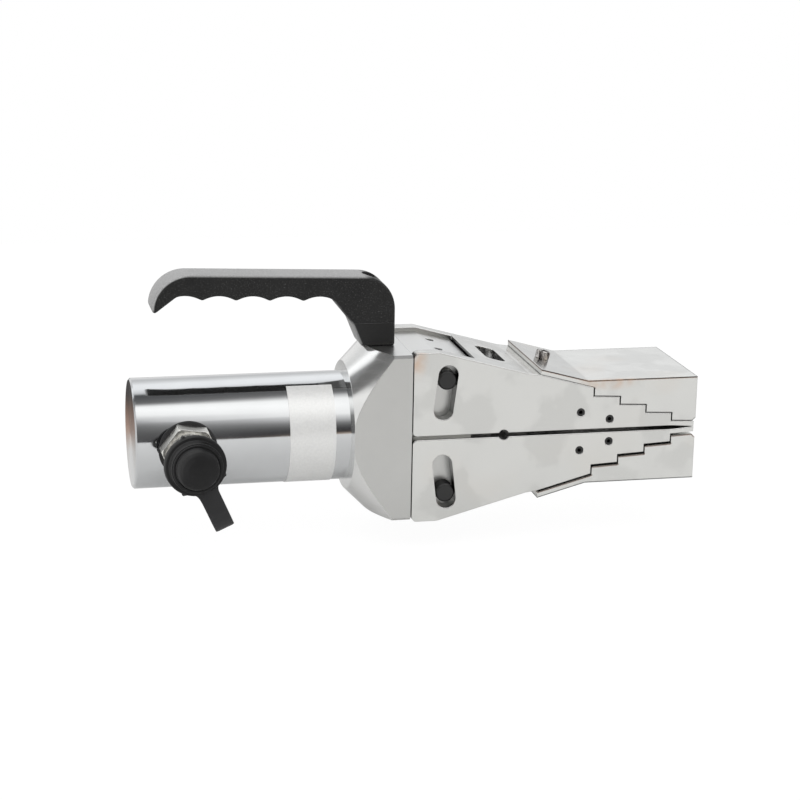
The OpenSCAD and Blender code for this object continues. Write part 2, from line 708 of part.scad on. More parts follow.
module wedge_pocket() {
    rise = ramp_fit / cos(wedge_angle);
    end_x = wedge_x + (wedge_h + rise) / tan(wedge_angle);
    translate([joint_x, 0, 0]) across(wedge_w + 2 * running_fit)
        polygon([[nose_l, -cut], [end_x, 0], [nose_l, ramp_at(nose_l) + rise]]);
}

module side_screws_at() for (i = [0, 1]) translate([joint_x + side_screw_x + i * side_screw_pitch,
    -body_w / 2, side_screw_z - i * side_screw_fall]) children();

module on_leg(x) translate([joint_x + x, 0, seat_z(x)]) rotate([0, jaw_slope, 0]) children();

block_screw_x = leg_x + block_screw_in;

module jaw() difference() {
    translate([joint_x, 0, 0]) across(body_w) jaw_outline();
    translate([joint_x - cut, -body_w / 2 + cheek_t, -cut])
        cube([nose_l + 2 * cut, body_w - 2 * cheek_t, jaw_h + 2 * cut]);
    wedge_pocket();
    t_slot();
    window();
    pin_slot();
    translate([joint_x + key_x, 0, 0]) along_y(wedge_pin_d + slot_fit, body_w + 2 * cut);
    side_screws_at() rotate([90, 0, 0]) translate([0, 0, -side_screw_l - cut])
        cylinder(d = side_screw_d, h = side_screw_l + 2 * cut);
    on_leg(block_screw_x) translate([0, 0, -block_screw_l]) cylinder(d = block_screw_d, h = 2 * block_screw_l);
}
module upper_jaw() color("gainsboro") jaw();
module lower_jaw() color("gainsboro") mirror([0, 0, 1]) jaw();

module jaw_screws() side_screws_at() rotate([90, 0, 0]) translate([0, 0, -side_screw_in])
    set_screw(side_screw_d, side_screw_l);
module upper_jaw_screws() color("dimgray") jaw_screws();
module lower_jaw_screws() color("dimgray") mirror([0, 0, 1]) jaw_screws();

// Step blocks: an inner staircase that nests on the jaw, and a leg on its slope
leg_rise = leg_t / cos(jaw_slope);
bend_x = step_x - (block_h - leg_rise - tread_z - first_rise) / tan(jaw_slope);

module block_outline() {
    last_z = tread_at(steps - 1, jaw_l) + block_fit;
    polygon(concat([[leg_x, seat_z(leg_x)]],
        [for (i = [0:steps - 1]) let (x = riser_x(i) + riser_gap)
            each [[x, i > 0 ? tread_at(i - 1, x) + block_fit : seat_z(x)], [x, tread_at(i, x) + block_fit]]],
        [[block_l - block_chamfer, last_z], [block_l, last_z + block_chamfer], [block_l, block_h],
            [bend_x, block_h], [leg_x, seat_z(leg_x) + leg_rise]]));
}

module block() difference() {
    translate([joint_x, 0, 0]) across(body_w) block_outline();
    on_leg(block_screw_x) translate([0, 0, -cut])
        cylinder(d = block_screw_d + 2 * block_hole_fit, h = leg_t + 2 * cut);
}
module upper_step_block() color("gainsboro") block();
module lower_step_block() color("gainsboro") translate([0, 0, -block_drop]) mirror([0, 0, 1]) block();

module block_screw(rise = 0) on_leg(block_screw_x) translate([0, 0, leg_t + rise])
    cap_screw(block_screw_d, block_screw_d, block_screw_l);
module upper_block_screw() color("silver") block_screw();
module lower_block_screw() color("silver") mirror([0, 0, 1]) block_screw(block_drop * cos(jaw_slope));

body_block();
barrel();
barrel_label();
coupler_washer();
coupler_body();
dust_cap();
cap_strap();
handle_foot();
handle_grip();
handle_screw();
upper_jaw_pin();
lower_jaw_pin();
pin_lock_screws();
guide_bush();
bush_seal();
rod_wiper();
piston();
piston_seal();
piston_wear_ring();
piston_nut();
ram_rod();
return_spring();
wedge();
wedge_pin();
upper_key();
lower_key();
key_screws();
upper_jaw();
lower_jaw();
upper_jaw_screws();
lower_jaw_screws();
upper_step_block();
lower_step_block();
upper_block_screw();
lower_block_screw();
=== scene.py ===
"""Looks of the hydraulic flange spreader, laid out as a Blender add-on and run as a script."""

import math

import bmesh
import bpy
import numpy as np
from mathutils import Matrix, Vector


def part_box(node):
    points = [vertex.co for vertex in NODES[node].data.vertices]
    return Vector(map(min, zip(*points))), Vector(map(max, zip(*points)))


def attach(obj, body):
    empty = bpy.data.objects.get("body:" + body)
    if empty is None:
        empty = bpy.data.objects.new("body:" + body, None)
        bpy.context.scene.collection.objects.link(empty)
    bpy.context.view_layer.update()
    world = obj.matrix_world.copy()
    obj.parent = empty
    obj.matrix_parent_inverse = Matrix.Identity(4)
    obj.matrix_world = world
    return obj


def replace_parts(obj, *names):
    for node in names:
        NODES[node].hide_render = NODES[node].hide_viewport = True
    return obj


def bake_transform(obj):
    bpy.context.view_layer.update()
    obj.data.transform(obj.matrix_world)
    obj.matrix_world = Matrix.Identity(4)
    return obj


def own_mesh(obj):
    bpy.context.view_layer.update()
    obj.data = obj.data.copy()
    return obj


bl_info = {
    "name": "Hydraulic flange spreader",
    "version": (1, 0, 0),
    "blender": (4, 5, 0),
    "location": "View3D > Sidebar > Spreader",
    "description": "Dresses the flange spreader with its handle, dust cap, coupler, screws, finishes and studio",
    "category": "Object",
}

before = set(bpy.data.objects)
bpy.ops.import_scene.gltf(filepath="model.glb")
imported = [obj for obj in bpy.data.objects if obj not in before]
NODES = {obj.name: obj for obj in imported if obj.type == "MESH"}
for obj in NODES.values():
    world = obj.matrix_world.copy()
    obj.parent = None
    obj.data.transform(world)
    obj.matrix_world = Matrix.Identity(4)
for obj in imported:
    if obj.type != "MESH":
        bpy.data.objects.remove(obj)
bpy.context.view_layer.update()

MM = 0.001
# Where the oil port and its coupler stand along the tool
PORT_X = 29.3 * MM


# ---------------------------------------------------------------- sizes and colours


def length(name, description, millimetres):
    """A length of the tool, kept in metres."""
    return bpy.props.FloatProperty(name=name, description=description, default=millimetres * MM, unit="LENGTH")


def tint(name, description, default):
    """A linear colour with its alpha."""
    return bpy.props.FloatVectorProperty(
        name=name, description=description, default=(*default, 1.0), size=4, subtype="COLOR", min=0, max=1
    )


def lean(name, description, degrees):
    """An angle of the tool, kept in radians."""
    return bpy.props.FloatProperty(name=name, description=description, default=math.radians(degrees), subtype="ANGLE")


class SpreaderHandleSizes(bpy.types.PropertyGroup):
    """Sizes of the hook handle."""

    foot_front: length("Foot front", "Distance from the rear face to the front of the handle's foot", 155.2)
    base: length("Base", "Height of the body's top, which the foot stands on", 50)
    width: length("Width", "Width of the handle", 23)
    edge: length("Edge", "Rounding along the handle's edges", 2.0)
    soften: length("Soften", "Rounding of the corners of the handle's outline", 0.9)
    reach: length("Reach", "Length of the handle from foot to nose", 143)
    height: length("Height", "Height of the shoulder above the body", 42)
    foot_height: length("Foot height", "Height of the seam between foot and grip", 14)
    foot_length: length("Foot length", "Length of the foot along the body", 20)
    shoulder: length("Shoulder", "Radius of the shoulder", 20)
    nose: length("Nose", "Radius of the hook's nose", 21)
    tilt: lean("Tilt", "Rise of the grip towards its nose", 2)
    thickness: length("Thickness", "Thickness of the grip over a finger groove", 12.4)
    groove_depth: length("Groove depth", "Depth of a finger groove", 2.8)
    groove_pitch: length("Groove pitch", "Length of a finger groove", 19.7)
    groove_in: length("Groove start", "Distance from the nose to the first groove", 19.5)


class SpreaderCouplerSizes(bpy.types.PropertyGroup):
    """Sizes of the coupler, its cap and the strap."""

    seat: length("Seat", "Distance from the ram's axis to the back of the hexagon", 39.96)
    neck: length("Neck", "Diameter of the neck behind the hexagon", 22)
    neck_length: length("Neck length", "Length of the neck", 8.6)
    hexagon: length("Hexagon", "Hexagon across flats", 29)
    hexagon_length: length("Hexagon length", "Thickness of the hexagon", 10.5)
    hexagon_turn: lean("Hexagon turn", "Turn of the hexagon", -8)
    sleeve: length("Sleeve", "Diameter of the sleeve", 26.5)
    sleeve_length: length("Sleeve length", "Length of the sleeve", 11.5)
    mouth: length("Mouth", "Diameter of the threaded nose", 24.4)
    mouth_length: length("Mouth length", "Length of the threaded nose", 11)
    bore: length("Bore", "Diameter of the nose's bore", 16.1)
    cap_back: length("Cap back", "Distance from the ram's axis to the back of the dust cap", 64.26)
    flange: length("Flange", "Diameter of the dust cap's flange", 35.2)
    cap_drift: length("Cap drift", "Sideways set of the soft cap at its dome", 1.1)
    cap_sag: length("Cap sag", "How far the soft cap and its strap hang", 1.3)
    eye: length("Eye", "Diameter of the strap's eye", 34)
    strap_reach: length("Strap reach", "Distance from the cap's centre to the strap's tip", 45.5)
    strap_width: length("Strap width", "Width of the strap", 11.3)
    strap_thickness: length("Strap thickness", "Thickness of the strap", 2)
    strap_lean: lean("Strap lean", "Lean of the strap", 24)


class SpreaderColours(bpy.types.PropertyGroup):
    """Colours of the finishes, linear."""

    body: tint("Body", "Ground nickel plate of the body", (0.66, 0.66, 0.645))
    jaws: tint("Jaws", "Satin nickel plate of the jaws and step blocks", (0.81, 0.81, 0.79))
    chrome: tint("Chrome", "Mirror chrome of the barrel and rod", (0.70, 0.71, 0.72))
    label: tint("Label", "Plain silvery label", (0.80, 0.80, 0.79))
    grip: tint("Grip", "Grained black grip", (0.0098, 0.0098, 0.0098))
    foot: tint("Foot", "Smoother black foot", (0.011, 0.011, 0.011))
    rubber: tint("Rubber", "Black rubber of cap and strap", (0.0095, 0.0095, 0.0100))
    oxide: tint("Black oxide", "Pins and set screws", (0.066, 0.066, 0.066))
    nickel: tint("Nickel", "Pale nickel of the coupler", (0.88, 0.87, 0.83))
    zinc: tint("Zinc", "Bright screws of the step blocks", (0.70, 0.68, 0.66))
    bronze: tint("Bronze", "Guide bush", (0.55, 0.36, 0.16))


# ---------------------------------------------------------------- nodes

WHITE = (1.0, 1.0, 1.0, 1.0)
# Colours painted along edges: a dark one for painted reflection and shade, and a copper one for a painted reflection of
# the studio's warm band
PAINTED_EDGE_DARK = (0.02, 0.02, 0.02, 1.0)
PAINTED_WARM_REFLECTION = (0.52, 0.33, 0.24, 1.0)
HEAT_TINT = (0.70, 0.47, 0.32, 1.0)
WARM_PLATE = (0.80, 0.66, 0.54, 1.0)


def grey(level):
    """A neutral colour of that level."""
    return (level, level, level, 1.0)


def dim(colour, share):
    """A colour made darker or lighter by a share."""
    return (*(min(1.0, c * share) for c in colour[:3]), 1.0)


def put(tree, value, target):
    """Feeds an input from a socket, or sets it to a value."""
    if isinstance(value, bpy.types.NodeSocket):
        tree.links.new(value, target)
    else:
        target.default_value = value


def feed(tree, made, **settings):
    """A node with its inputs fed by name; a setting that names no input is a property."""
    for name, value in settings.items():
        label = name.replace("_", " ").title().replace("Ior", "IOR")
        if label in made.inputs:
            put(tree, value, made.inputs[label])
        else:
            setattr(made, name, value)
    return made


def add(tree, kind, *values, **settings):
    """A shader node of that kind, laid in rows, its settings fed by name and then its first inputs in order."""
    made = tree.nodes.new(kind if kind.startswith("NodeGroup") else f"ShaderNode{kind}")
    column, row = len(tree.nodes) % 8, len(tree.nodes) // 8
    made.location = (220 * column, -280 * row)
    feed(tree, made, **settings)
    for value, target in zip(values, made.inputs):
        put(tree, value, target)
    return made


def coordinates(tree, kind="Object"):
    """A place or direction of the surface, in the object's own frame; Generated gives the world's directions."""
    return add(tree, "TexCoord").outputs[kind]


def parts(tree, vector):
    """The X, Y and Z of a vector."""
    return add(tree, "SeparateXYZ", vector).outputs


def maths(tree, operation, *terms):
    """What an operation on numbers or sockets gives."""
    return add(tree, "Math", *terms, operation=operation).outputs[0]


def vectors(tree, operation, *terms):
    """What an operation on vectors gives; a length or a dot product is a number."""
    made = add(tree, "VectorMath", *terms, operation=operation)
    return made.outputs["Value" if operation in ("LENGTH", "DOT_PRODUCT") else "Vector"]


def noise(tree, place, scale, **settings):
    """Noise at a place, at a scale that may be a socket."""
    return add(tree, "TexNoise", vector=place, scale=scale, **settings).outputs["Fac"]


def spread(tree, source, low, high, from_low=0.3, from_high=0.7, ease="LINEAR"):
    """Maps a value onto a range and holds it there."""
    return add(tree, "MapRange", source, from_low, from_high, low, high, interpolation_type=ease).outputs[0]


def blend(tree, mask, first, second, kind="RGBA"):
    """Mixes two colours, or two numbers where kind is FLOAT, by a mask; each may be a value or a socket."""
    made = add(tree, "Mix", data_type=kind)
    first_input, output = (6, 2) if kind == "RGBA" else (2, 0)
    for value, at in ((mask, 0), (first, first_input), (second, first_input + 1)):
        put(tree, value, made.inputs[at])
    return made.outputs[output]


def ramp(tree, place, stops):
    """Colours between stops, from the first at 0 to the last at 1; a stop's colour is a triple or one grey level."""
    made = add(tree, "ValToRGB")
    first, last = stops[0][0], stops[-1][0]
    elements = made.color_ramp.elements
    for at, colour in stops:
        spot = (at - first) / (last - first)
        stop = elements[0] if spot == 0 else elements[-1] if spot == 1 else elements.new(spot)
        stop.color = (*colour, 1) if isinstance(colour, tuple) else grey(colour)
    tree.links.new(place, made.inputs["Fac"])
    return made.outputs["Color"]


def relief(tree, height, distance, strength, normal):
    """A bump from a height, over another normal."""
    return add(tree, "Bump", height=height, distance=distance, strength=strength, normal=normal).outputs[0]


# ---------------------------------------------------------------- node groups


def group(name, **inputs):
    """A node group and what its inputs give; a number stands for a float socket and a triple for a vector."""
    tree = bpy.data.node_groups.new(name, "ShaderNodeTree")
    for label, default in inputs.items():
        kind = "NodeSocketVector" if isinstance(default, tuple) else "NodeSocketFloat"
        tree.interface.new_socket(name=label, in_out="INPUT", socket_type=kind).default_value = default
    return tree, add(tree, "NodeGroupInput").outputs


def give(tree, **results):
    """The group with its outputs, each of the kind of what feeds it."""
    kinds = {"VECTOR": "NodeSocketVector", "RGBA": "NodeSocketColor"}
    for label, source in results.items():
        kind = kinds.get(source.type, "NodeSocketFloat")
        tree.interface.new_socket(name=label, in_out="OUTPUT", socket_type=kind)
    add(tree, "NodeGroupOutput", *results.values())
    return tree


def build_soft_edge():
    """Soft edge: the normal rounded over a small radius, a mask that rises where it leaves the flat normal, and how far
    it leans upwards there."""
    tree, given = group("soft edge", Radius=0.4 * MM)
    round_normal = add(tree, "Bevel", given["Radius"], samples=14).outputs[0]
    flat = add(tree, "NewGeometry").outputs["Normal"]
    edge = spread(tree, vectors(tree, "DOT_PRODUCT", round_normal, flat), 0, 1, 0.995, 0.80)
    rise = parts(tree, vectors(tree, "SUBTRACT", round_normal, flat))["Z"]
    return give(tree, Normal=round_normal, Edge=edge, Rise=rise)


def build_mottle():
    """Plating mottle: slow clouds for colour and a slightly wavy height, both from two scales of noise."""
    tree, given = group("plating mottle", Scale=40.0)
    place = coordinates(tree)
    cloud = noise(tree, place, given["Scale"], detail=4.0, roughness=0.55)
    wave = noise(tree, place, maths(tree, "MULTIPLY", given["Scale"], 0.6), detail=1.5, roughness=0.4)
    return give(tree, Cloud=cloud, Wave=wave)


def build_lay():
    """Fine lay: noise stretched along one way, as grinding, turning or polishing leaves it."""
    tree, given = group("fine lay", Along=(0.05, 1.0, 1.0), Scale=3000.0)
    stretched = vectors(tree, "MULTIPLY", coordinates(tree), given["Along"])
    return give(tree, Line=noise(tree, stretched, given["Scale"], detail=2.0, roughness=0.6))


def build_moulded_grain():
    """Moulded grain: small pits and specks of a textured moulding, from fine noise over a Voronoi field."""
    tree, given = group("moulded grain", Scale=1500.0)
    place = coordinates(tree)
    pits = add(tree, "TexVoronoi", feature="SMOOTH_F1", vector=place, scale=given["Scale"])
    fine = noise(tree, place, given["Scale"], detail=3.0, roughness=0.7)
    height = maths(tree, "ADD", pits.outputs["Distance"], fine)
    return give(tree, Height=height, Speck=spread(tree, fine, 0, 1, 0.57, 0.72))


# The way that the faces with the strongest painted sheen look: to the rear and up
SHEEN_SIDE = (-0.85, -0.05, 0.52)


def build_painted_sheen_mask():
    """Painted sheen: a mask of faces that look up or to the rear, which mouldings paint paler as a sheen, broken up by
    fine noise.
    """
    tree, given = group("painted sheen", Scale=900.0)
    facing = vectors(tree, "DOT_PRODUCT", coordinates(tree, "Normal"), SHEEN_SIDE)
    grain = noise(tree, coordinates(tree), given["Scale"], detail=4.0, roughness=0.7)
    laid = spread(tree, facing, 0, 1, 0.18, 0.54, "SMOOTHSTEP")
    return give(tree, Dust=maths(tree, "MULTIPLY", laid, spread(tree, grain, 0.55, 1, 0.30, 0.60)))


# Painted reflection of a turned face: shades by the angle about its axis, in degrees from the level in front up over
# the top
PAINTED_FAN = (
    (-180, (0.46, 0.36, 0.31)), (-150, (0.62, 0.59, 0.56)), (-110, 0.80), (-50, (0.74, 0.75, 0.76)),
    (-15, (0.52, 0.50, 0.48)), (8, (0.22, 0.20, 0.19)), (45, 0.13), (80, (0.30, 0.29, 0.28)), (120, (0.16, 0.15, 0.15)),
    (150, (0.34, 0.26, 0.22)), (180, (0.46, 0.36, 0.31)),
)


def build_turned_face():
    """Turned face: fine rings about the X axis, from noise of the distance to it, a mask of faces square to it,
    and fans of painted reflection, light and shade by the angle about the axis, which the rings set swaying."""
    tree, given = group("turned face", Scale=2500.0)
    place = coordinates(tree)
    sway = 0.9
    far = vectors(tree, "LENGTH", vectors(tree, "MULTIPLY", place, (0, 1, 1)))
    rings = add(tree, "TexNoise", noise_dimensions="1D", w=far, scale=given["Scale"], detail=2.0).outputs["Fac"]
    square = maths(tree, "ABSOLUTE", parts(tree, coordinates(tree, "Normal"))["X"])
    beside = parts(tree, place)
    about = maths(tree, "ARCTAN2", beside["Z"], maths(tree, "MULTIPLY", beside["Y"], -1))
    swayed = maths(tree, "MULTIPLY_ADD", rings, sway, about)
    painted_fan = ramp(tree, spread(tree, swayed, 0, 1, sway / 2 - math.pi, sway / 2 + math.pi), PAINTED_FAN)
    return give(tree, Rings=rings, Face=spread(tree, square, 0, 1, 0.85, 0.97), Fan=painted_fan)


GROUPS = {}


def build_groups():
    """Builds each shared effect once."""
    GROUPS["edge"] = build_soft_edge()
    GROUPS["mottle"] = build_mottle()
    GROUPS["lay"] = build_lay()
    GROUPS["grain"] = build_moulded_grain()
    GROUPS["turned"] = build_turned_face()
    GROUPS["painted_sheen"] = build_painted_sheen_mask()


def use(tree, name, **values):
    """What a shared effect gives in a material, with the values that the material sets."""
    return add(tree, "Group", node_tree=GROUPS[name], **values).outputs


# ---------------------------------------------------------------- materials


def material(name):
    """A material with its nodes and its Principled shader."""
    made = bpy.data.materials.new(name)
    made.use_nodes = True
    return made, made.node_tree, made.node_tree.nodes["Principled BSDF"]


def overlay(made, label, mask, value):
    """Lays a colour or a number over what feeds an input of the finish's shader, where a mask rises."""
    tree = made.node_tree
    target = tree.nodes["Principled BSDF"].inputs[label]
    below = target.links[0].from_socket
    kind = "RGBA" if label == "Base Color" else "FLOAT"
    tree.links.new(blend(tree, mask, below, value, kind), target)


# Heat tints on a jaw's upper rear corner and under the top edge of a step block: centre, reach and strength
JAW_STAIN = ((0.1615, -0.0375, 0.0475), (0.009, 0.004, 0.014), 0.65)
BLOCK_STAIN = ((0.281, -0.0375, 0.031), (0.022, 0.005, 0.007), 0.70)


def stained(made, centre, reach, amount):
    """A faint heat tint of copper round one place of a finish, in an ellipsoid that waves break up."""
    tree = made.node_tree
    off = vectors(tree, "SUBTRACT", coordinates(tree), centre)
    far = vectors(tree, "LENGTH", vectors(tree, "DIVIDE", off, reach))
    waves = use(tree, "mottle", scale=260.0)["Wave"]
    near = spread(tree, far, 1, 0, 0.25, 1.0)
    broken = maths(tree, "MULTIPLY", near, spread(tree, waves, 0.3, 1, 0.35, 0.6))
    overlay(made, "Base Color", spread(tree, broken, 0, amount, 0, 1), HEAT_TINT)
    return made


def plated(
    name, colour, low, high, clouds, edge=0.45 * MM, wave=0.03, lay=None, lay_bump=0.2, warm=0.0, patch=0.0, line=0.0,
    painted_highlight=0.0,
):
    """Plated steel: its roughness from low to high in clouds, with wide darker patches and warm ones where asked,
    slightly wavy, its edges rounded and brighter. line paints a dark rim with a copper tint along edges, weaker on
    the tool's lower half: a painted reflection of the studio's dark and warm bands where edges lean up, and painted
    shade where they lean down. The last setting paints a bright highlight along upper edges. A roughness that
    crosses 0.274 leaves marks where the picture's noise is filtered, so low and high stay on one side of it."""
    made, tree, shader = material(name)
    rim = use(tree, "edge", radius=edge)
    mottle = use(tree, "mottle", scale=clouds)
    shade = blend(tree, spread(tree, mottle["Cloud"], 0, 1), dim(colour, 0.955), dim(colour, 1.03))
    if patch:
        wide = use(tree, "mottle", scale=clouds * 0.8)["Cloud"]
        shade = blend(tree, spread(tree, wide, patch, 0, 0.44, 0.50), shade, dim(colour, 0.80))
    if warm:
        shade = blend(tree, spread(tree, mottle["Wave"], 0, warm, 0.55, 0.75), shade, WARM_PLATE)
    shade = blend(tree, spread(tree, rim["Edge"], 0, 0.5, 0, 1), shade, dim(colour, 1.06))
    # line paints the studio's reflection, dark and warm, on edges that lean up, and painted shade on edges that lean
    # down
    if line:
        half = spread(tree, parts(tree, coordinates(tree))["Z"], 0.42, 1, -2 * MM, 2 * MM)
        edged = maths(tree, "MULTIPLY", rim["Rise"], half)
        shade = blend(tree, spread(tree, edged, 0, 0.7 * line, 0.005, 0.08), shade, PAINTED_WARM_REFLECTION)
        shade = blend(tree, spread(tree, edged, 0, line, 0.11, 0.26), shade, PAINTED_EDGE_DARK)
        shade = blend(tree, spread(tree, rim["Rise"], line, 0, -0.36, -0.14), shade, PAINTED_EDGE_DARK)
    # A painted highlight along upper edges
    if painted_highlight:
        shade = blend(tree, spread(tree, rim["Rise"], 0, painted_highlight, 0.10, 0.30), shade, WHITE)
    normal = relief(tree, mottle["Wave"], 1.0 * MM, wave, rim["Normal"])
    if lay is not None:
        normal = relief(tree, use(tree, "lay", along=lay)["Line"], 0.02 * MM, lay_bump, normal)
    clouded = spread(tree, mottle["Cloud"], low, high)
    rough = blend(tree, spread(tree, rim["Edge"], 0, 1, 0, 0.4), clouded, min(low, 0.12), "FLOAT")
    feed(tree, shader, base_color=shade, metallic=1.0, roughness=rough, normal=normal)
    return made


def moulded(name, colour, rough, grain, bump, speck=0.0, edge=0.3 * MM, sheen=0.0, gloss=0.35, painted_sheen=0.0, edged=0.25):
    """Moulded plastic or rubber: fine grain, pale specks where it is rubbed, softly paler edges, and a painted sheen
    that lightens faces that look up or to the rear."""
    made, tree, shader = material(name)
    rim = use(tree, "edge", radius=edge)
    pits = use(tree, "grain", scale=grain)
    cloud = use(tree, "mottle", scale=60.0)["Cloud"]
    shade = blend(tree, spread(tree, cloud, 0, 1), dim(colour, 0.8), dim(colour, 1.25))
    shade = blend(tree, spread(tree, pits["Speck"], 0, speck, 0, 1), shade, grey(0.30))
    shade = blend(tree, spread(tree, rim["Edge"], 0, edged, 0, 1), shade, grey(0.10))
    # Faces that look up or to the rear are painted paler, a painted sheen
    if painted_sheen:
        film = spread(tree, use(tree, "painted_sheen", scale=grain)["Dust"], 0, painted_sheen, 0, 1)
        shade = blend(tree, film, shade, grey(0.55))
    rough = spread(tree, pits["Height"], rough - 0.06, rough + 0.06)
    normal = relief(tree, pits["Height"], 0.08 * MM, bump, rim["Normal"])
    feed(tree, shader, base_color=shade, roughness=rough, normal=normal)
    feed(tree, shader, specular_ior_level=gloss, sheen_weight=sheen, sheen_roughness=0.25)
    return made


def body_finish(colour):
    """Body steel: satin ground flats, a top painted paler as a highlight from above, milled chamfers, a face in the
    joint with the jaws painted dark as shade and the turned cone near a mirror, told apart by the surface's own
    direction."""
    made = plated("body steel", colour, 0.28, 0.33, clouds=25.0, wave=0.008, lay=(1.0, 1.0, 0.04), lay_bump=0.03)
    tree = made.node_tree
    facing = parts(tree, coordinates(tree, "Normal"))
    cone = spread(tree, facing["X"], 0, 1, -0.3, -0.5)
    overlay(made, "Roughness", cone, 0.13)
    overlay(made, "Base Color", spread(tree, facing["Z"], 0, 1, 0.45, 0.60), grey(0.30))
    # Painted highlight: the top painted paler
    overlay(made, "Base Color", spread(tree, facing["Z"], 0, 1, 0.85, 0.95), (0.82, 0.82, 0.81, 1))
    # Painted shade: the face in the joint with the jaws painted dark
    overlay(made, "Base Color", spread(tree, facing["X"], 0, 1, 0.85, 0.95), grey(0.12))
    overlay(made, "Base Color", cone, (0.92, 0.92, 0.91, 1))
    feed(tree, tree.nodes["Principled BSDF"], metallic=spread(tree, cone, 1, 0.86, 0, 1))
    return made


def jaw_finish(colour):
    """Jaw nickel: satin plate with faint patches, a rear face in the joint with the body painted dark as shade, a
    painted highlight along upper edges and a tinted corner.
    """
    made = plated(
        "jaw nickel", colour, 0.18, 0.27, clouds=38.0, edge=0.9 * MM, wave=0.035, lay=(1.0, 1.0, 0.08), lay_bump=0.03,
        warm=0.10, patch=0.45, painted_highlight=0.8,
    )
    tree = made.node_tree
    facing = parts(tree, coordinates(tree, "Normal"))
    # Painted shade: the rear face in the joint with the body painted dark
    overlay(made, "Base Color", spread(tree, facing["X"], 1, 0, -0.95, -0.85), grey(0.12))
    return stained(made, *JAW_STAIN)


def block_finish(colour):
    """Block nickel: brighter plate with a dark and copper line along its edges, painted reflection where they lean up
    and painted shade where they lean down, and a tint under the top edge.
    """
    made = plated(
        "block nickel", colour, 0.14, 0.24, clouds=50.0, edge=1.5 * MM, wave=0.045, lay=(0.08, 1.0, 1.0),
        lay_bump=0.03, warm=0.16, patch=0.36, line=0.9,
    )
    return stained(made, *BLOCK_STAIN)


def screw_finish(colour):
    """Screw zinc: bright plate whose upright wall carries painted reflection, dark and light stripes."""
    made = plated("screw zinc", colour, 0.12, 0.20, clouds=300.0, edge=0.15 * MM, warm=0.4)
    tree = made.node_tree
    line = use(tree, "lay", along=(1.0, 0.6, 0.03), scale=430.0)["Line"]
    # Dark stripes painted as reflection
    overlay(made, "Base Color", spread(tree, line, 1, 0, 0.46, 0.54), (0.05, 0.04, 0.04, 1))
    return made


def barrel_finish(colour):
    """Barrel chrome: a polished wall with faint turning, and a rear face that keeps its rings, is rougher and carries
    painted reflection in fans.
    """
    made = plated("barrel chrome", colour, 0.07, 0.11, clouds=30.0, wave=0.012, lay=(1.0, 0.05, 0.05), lay_bump=0.08)
    tree = made.node_tree
    face = use(tree, "turned", scale=2500.0)
    normal = tree.nodes["Principled BSDF"].inputs["Normal"]
    height = maths(tree, "MULTIPLY", face["Rings"], face["Face"])
    put(tree, relief(tree, height, 0.02 * MM, 0.9, normal.links[0].from_socket), normal)
    overlay(made, "Roughness", face["Face"], 0.22)
    # The rear face's colour is a painted reflection in fans by the angle about the axis
    overlay(made, "Base Color", face["Face"], face["Fan"])
    return made


def label_finish(colour):
    """Plain film: pale and faintly streaked, with a thin gloss."""
    made, tree, shader = material("label film")
    line = use(tree, "lay", along=(1.0, 1.0, 1.0), scale=700.0)["Line"]
    shade = blend(tree, spread(tree, line, 0, 1), dim(colour, 0.95), dim(colour, 1.03))
    feed(tree, shader, base_color=shade, roughness=spread(tree, line, 0.28, 0.40), metallic=0.25)
    return made


def coat(names, finish):
    """Gives one finish to several CAD nodes."""
    for name in names:
        mesh = NODES[name].data
        mesh.materials.clear()
        mesh.materials.append(finish)


# ---------------------------------------------------------------- surfaces

# Points nearer than this are one, and edges shorter than this are taken out, in metres
WELD = 1e-7
SHORTEST = 1e-8


def shown(name, mesh, work, finish, angle):
    """The object of a mesh that is filled from its bmesh, its normals outwards, smooth but for its sharp edges."""
    bmesh.ops.recalc_face_normals(work, faces=work.faces)
    work.to_mesh(mesh)
    work.free()
    mesh.materials.append(finish)
    mesh.polygons.foreach_set("use_smooth", np.ones(len(mesh.polygons), bool))
    mesh.set_sharp_from_angle(angle=math.radians(angle))
    made = bpy.data.objects.new(name, mesh)
    bpy.context.scene.collection.objects.link(made)
    return made


def mesh_piece(name, points, faces, finish, angle=35.0):
    """A mesh object from points and faces, its doubles merged."""
    mesh = bpy.data.meshes.new(name)
    mesh.from_pydata(points.tolist(), [], faces)
    work = bmesh.new()
    work.from_mesh(mesh)
    bmesh.ops.remove_doubles(work, verts=work.verts, dist=WELD)
    bmesh.ops.dissolve_degenerate(work, edges=work.edges, dist=SHORTEST)
    return shown(name, mesh, work, finish, angle)


def grid_faces(rows, columns, wrap_rows=False, wrap_columns=True):
    """Quads of a grid of rows by columns, worked out from its indices as whole arrays."""
    i = np.arange(rows if wrap_rows else rows - 1)[:, None]
    j = np.arange(columns if wrap_columns else columns - 1)[None, :]
    down, right = (i + 1) % rows, (j + 1) % columns
    quads = np.stack([i * columns + j, down * columns + j, down * columns + right, i * columns + right], axis=-1)
    return quads.reshape(-1, 4).tolist()


def turned(name, profile, angles, centre, axis, across, finish, radius=None, drift=None, angle=35.0):
    """A profile of (radius, height) rows turned about an axis: p = centre + h axis + r (cos a across + sin a up).
    radius(rows, heights, angles) may reshape the radii, and drift(h) may move each row's centre."""
    r, h = np.asarray(profile, float).T
    a = np.asarray(angles, float)
    axis, across = np.asarray(axis, float), np.asarray(across, float)
    up = np.cross(axis, across)
    radii = np.repeat(r[:, None], len(a), 1) if radius is None else radius(r[:, None], h[:, None], a[None, :])
    out = np.cos(a)[:, None] * across + np.sin(a)[:, None] * up
    points = np.asarray(centre, float) + h[:, None, None] * axis + radii[..., None] * out[None]
    if drift is not None:
        points = points + drift(h)[:, None, :]
    return mesh_piece(name, points.reshape(-1, 3), grid_faces(len(r), len(a)), finish, angle)


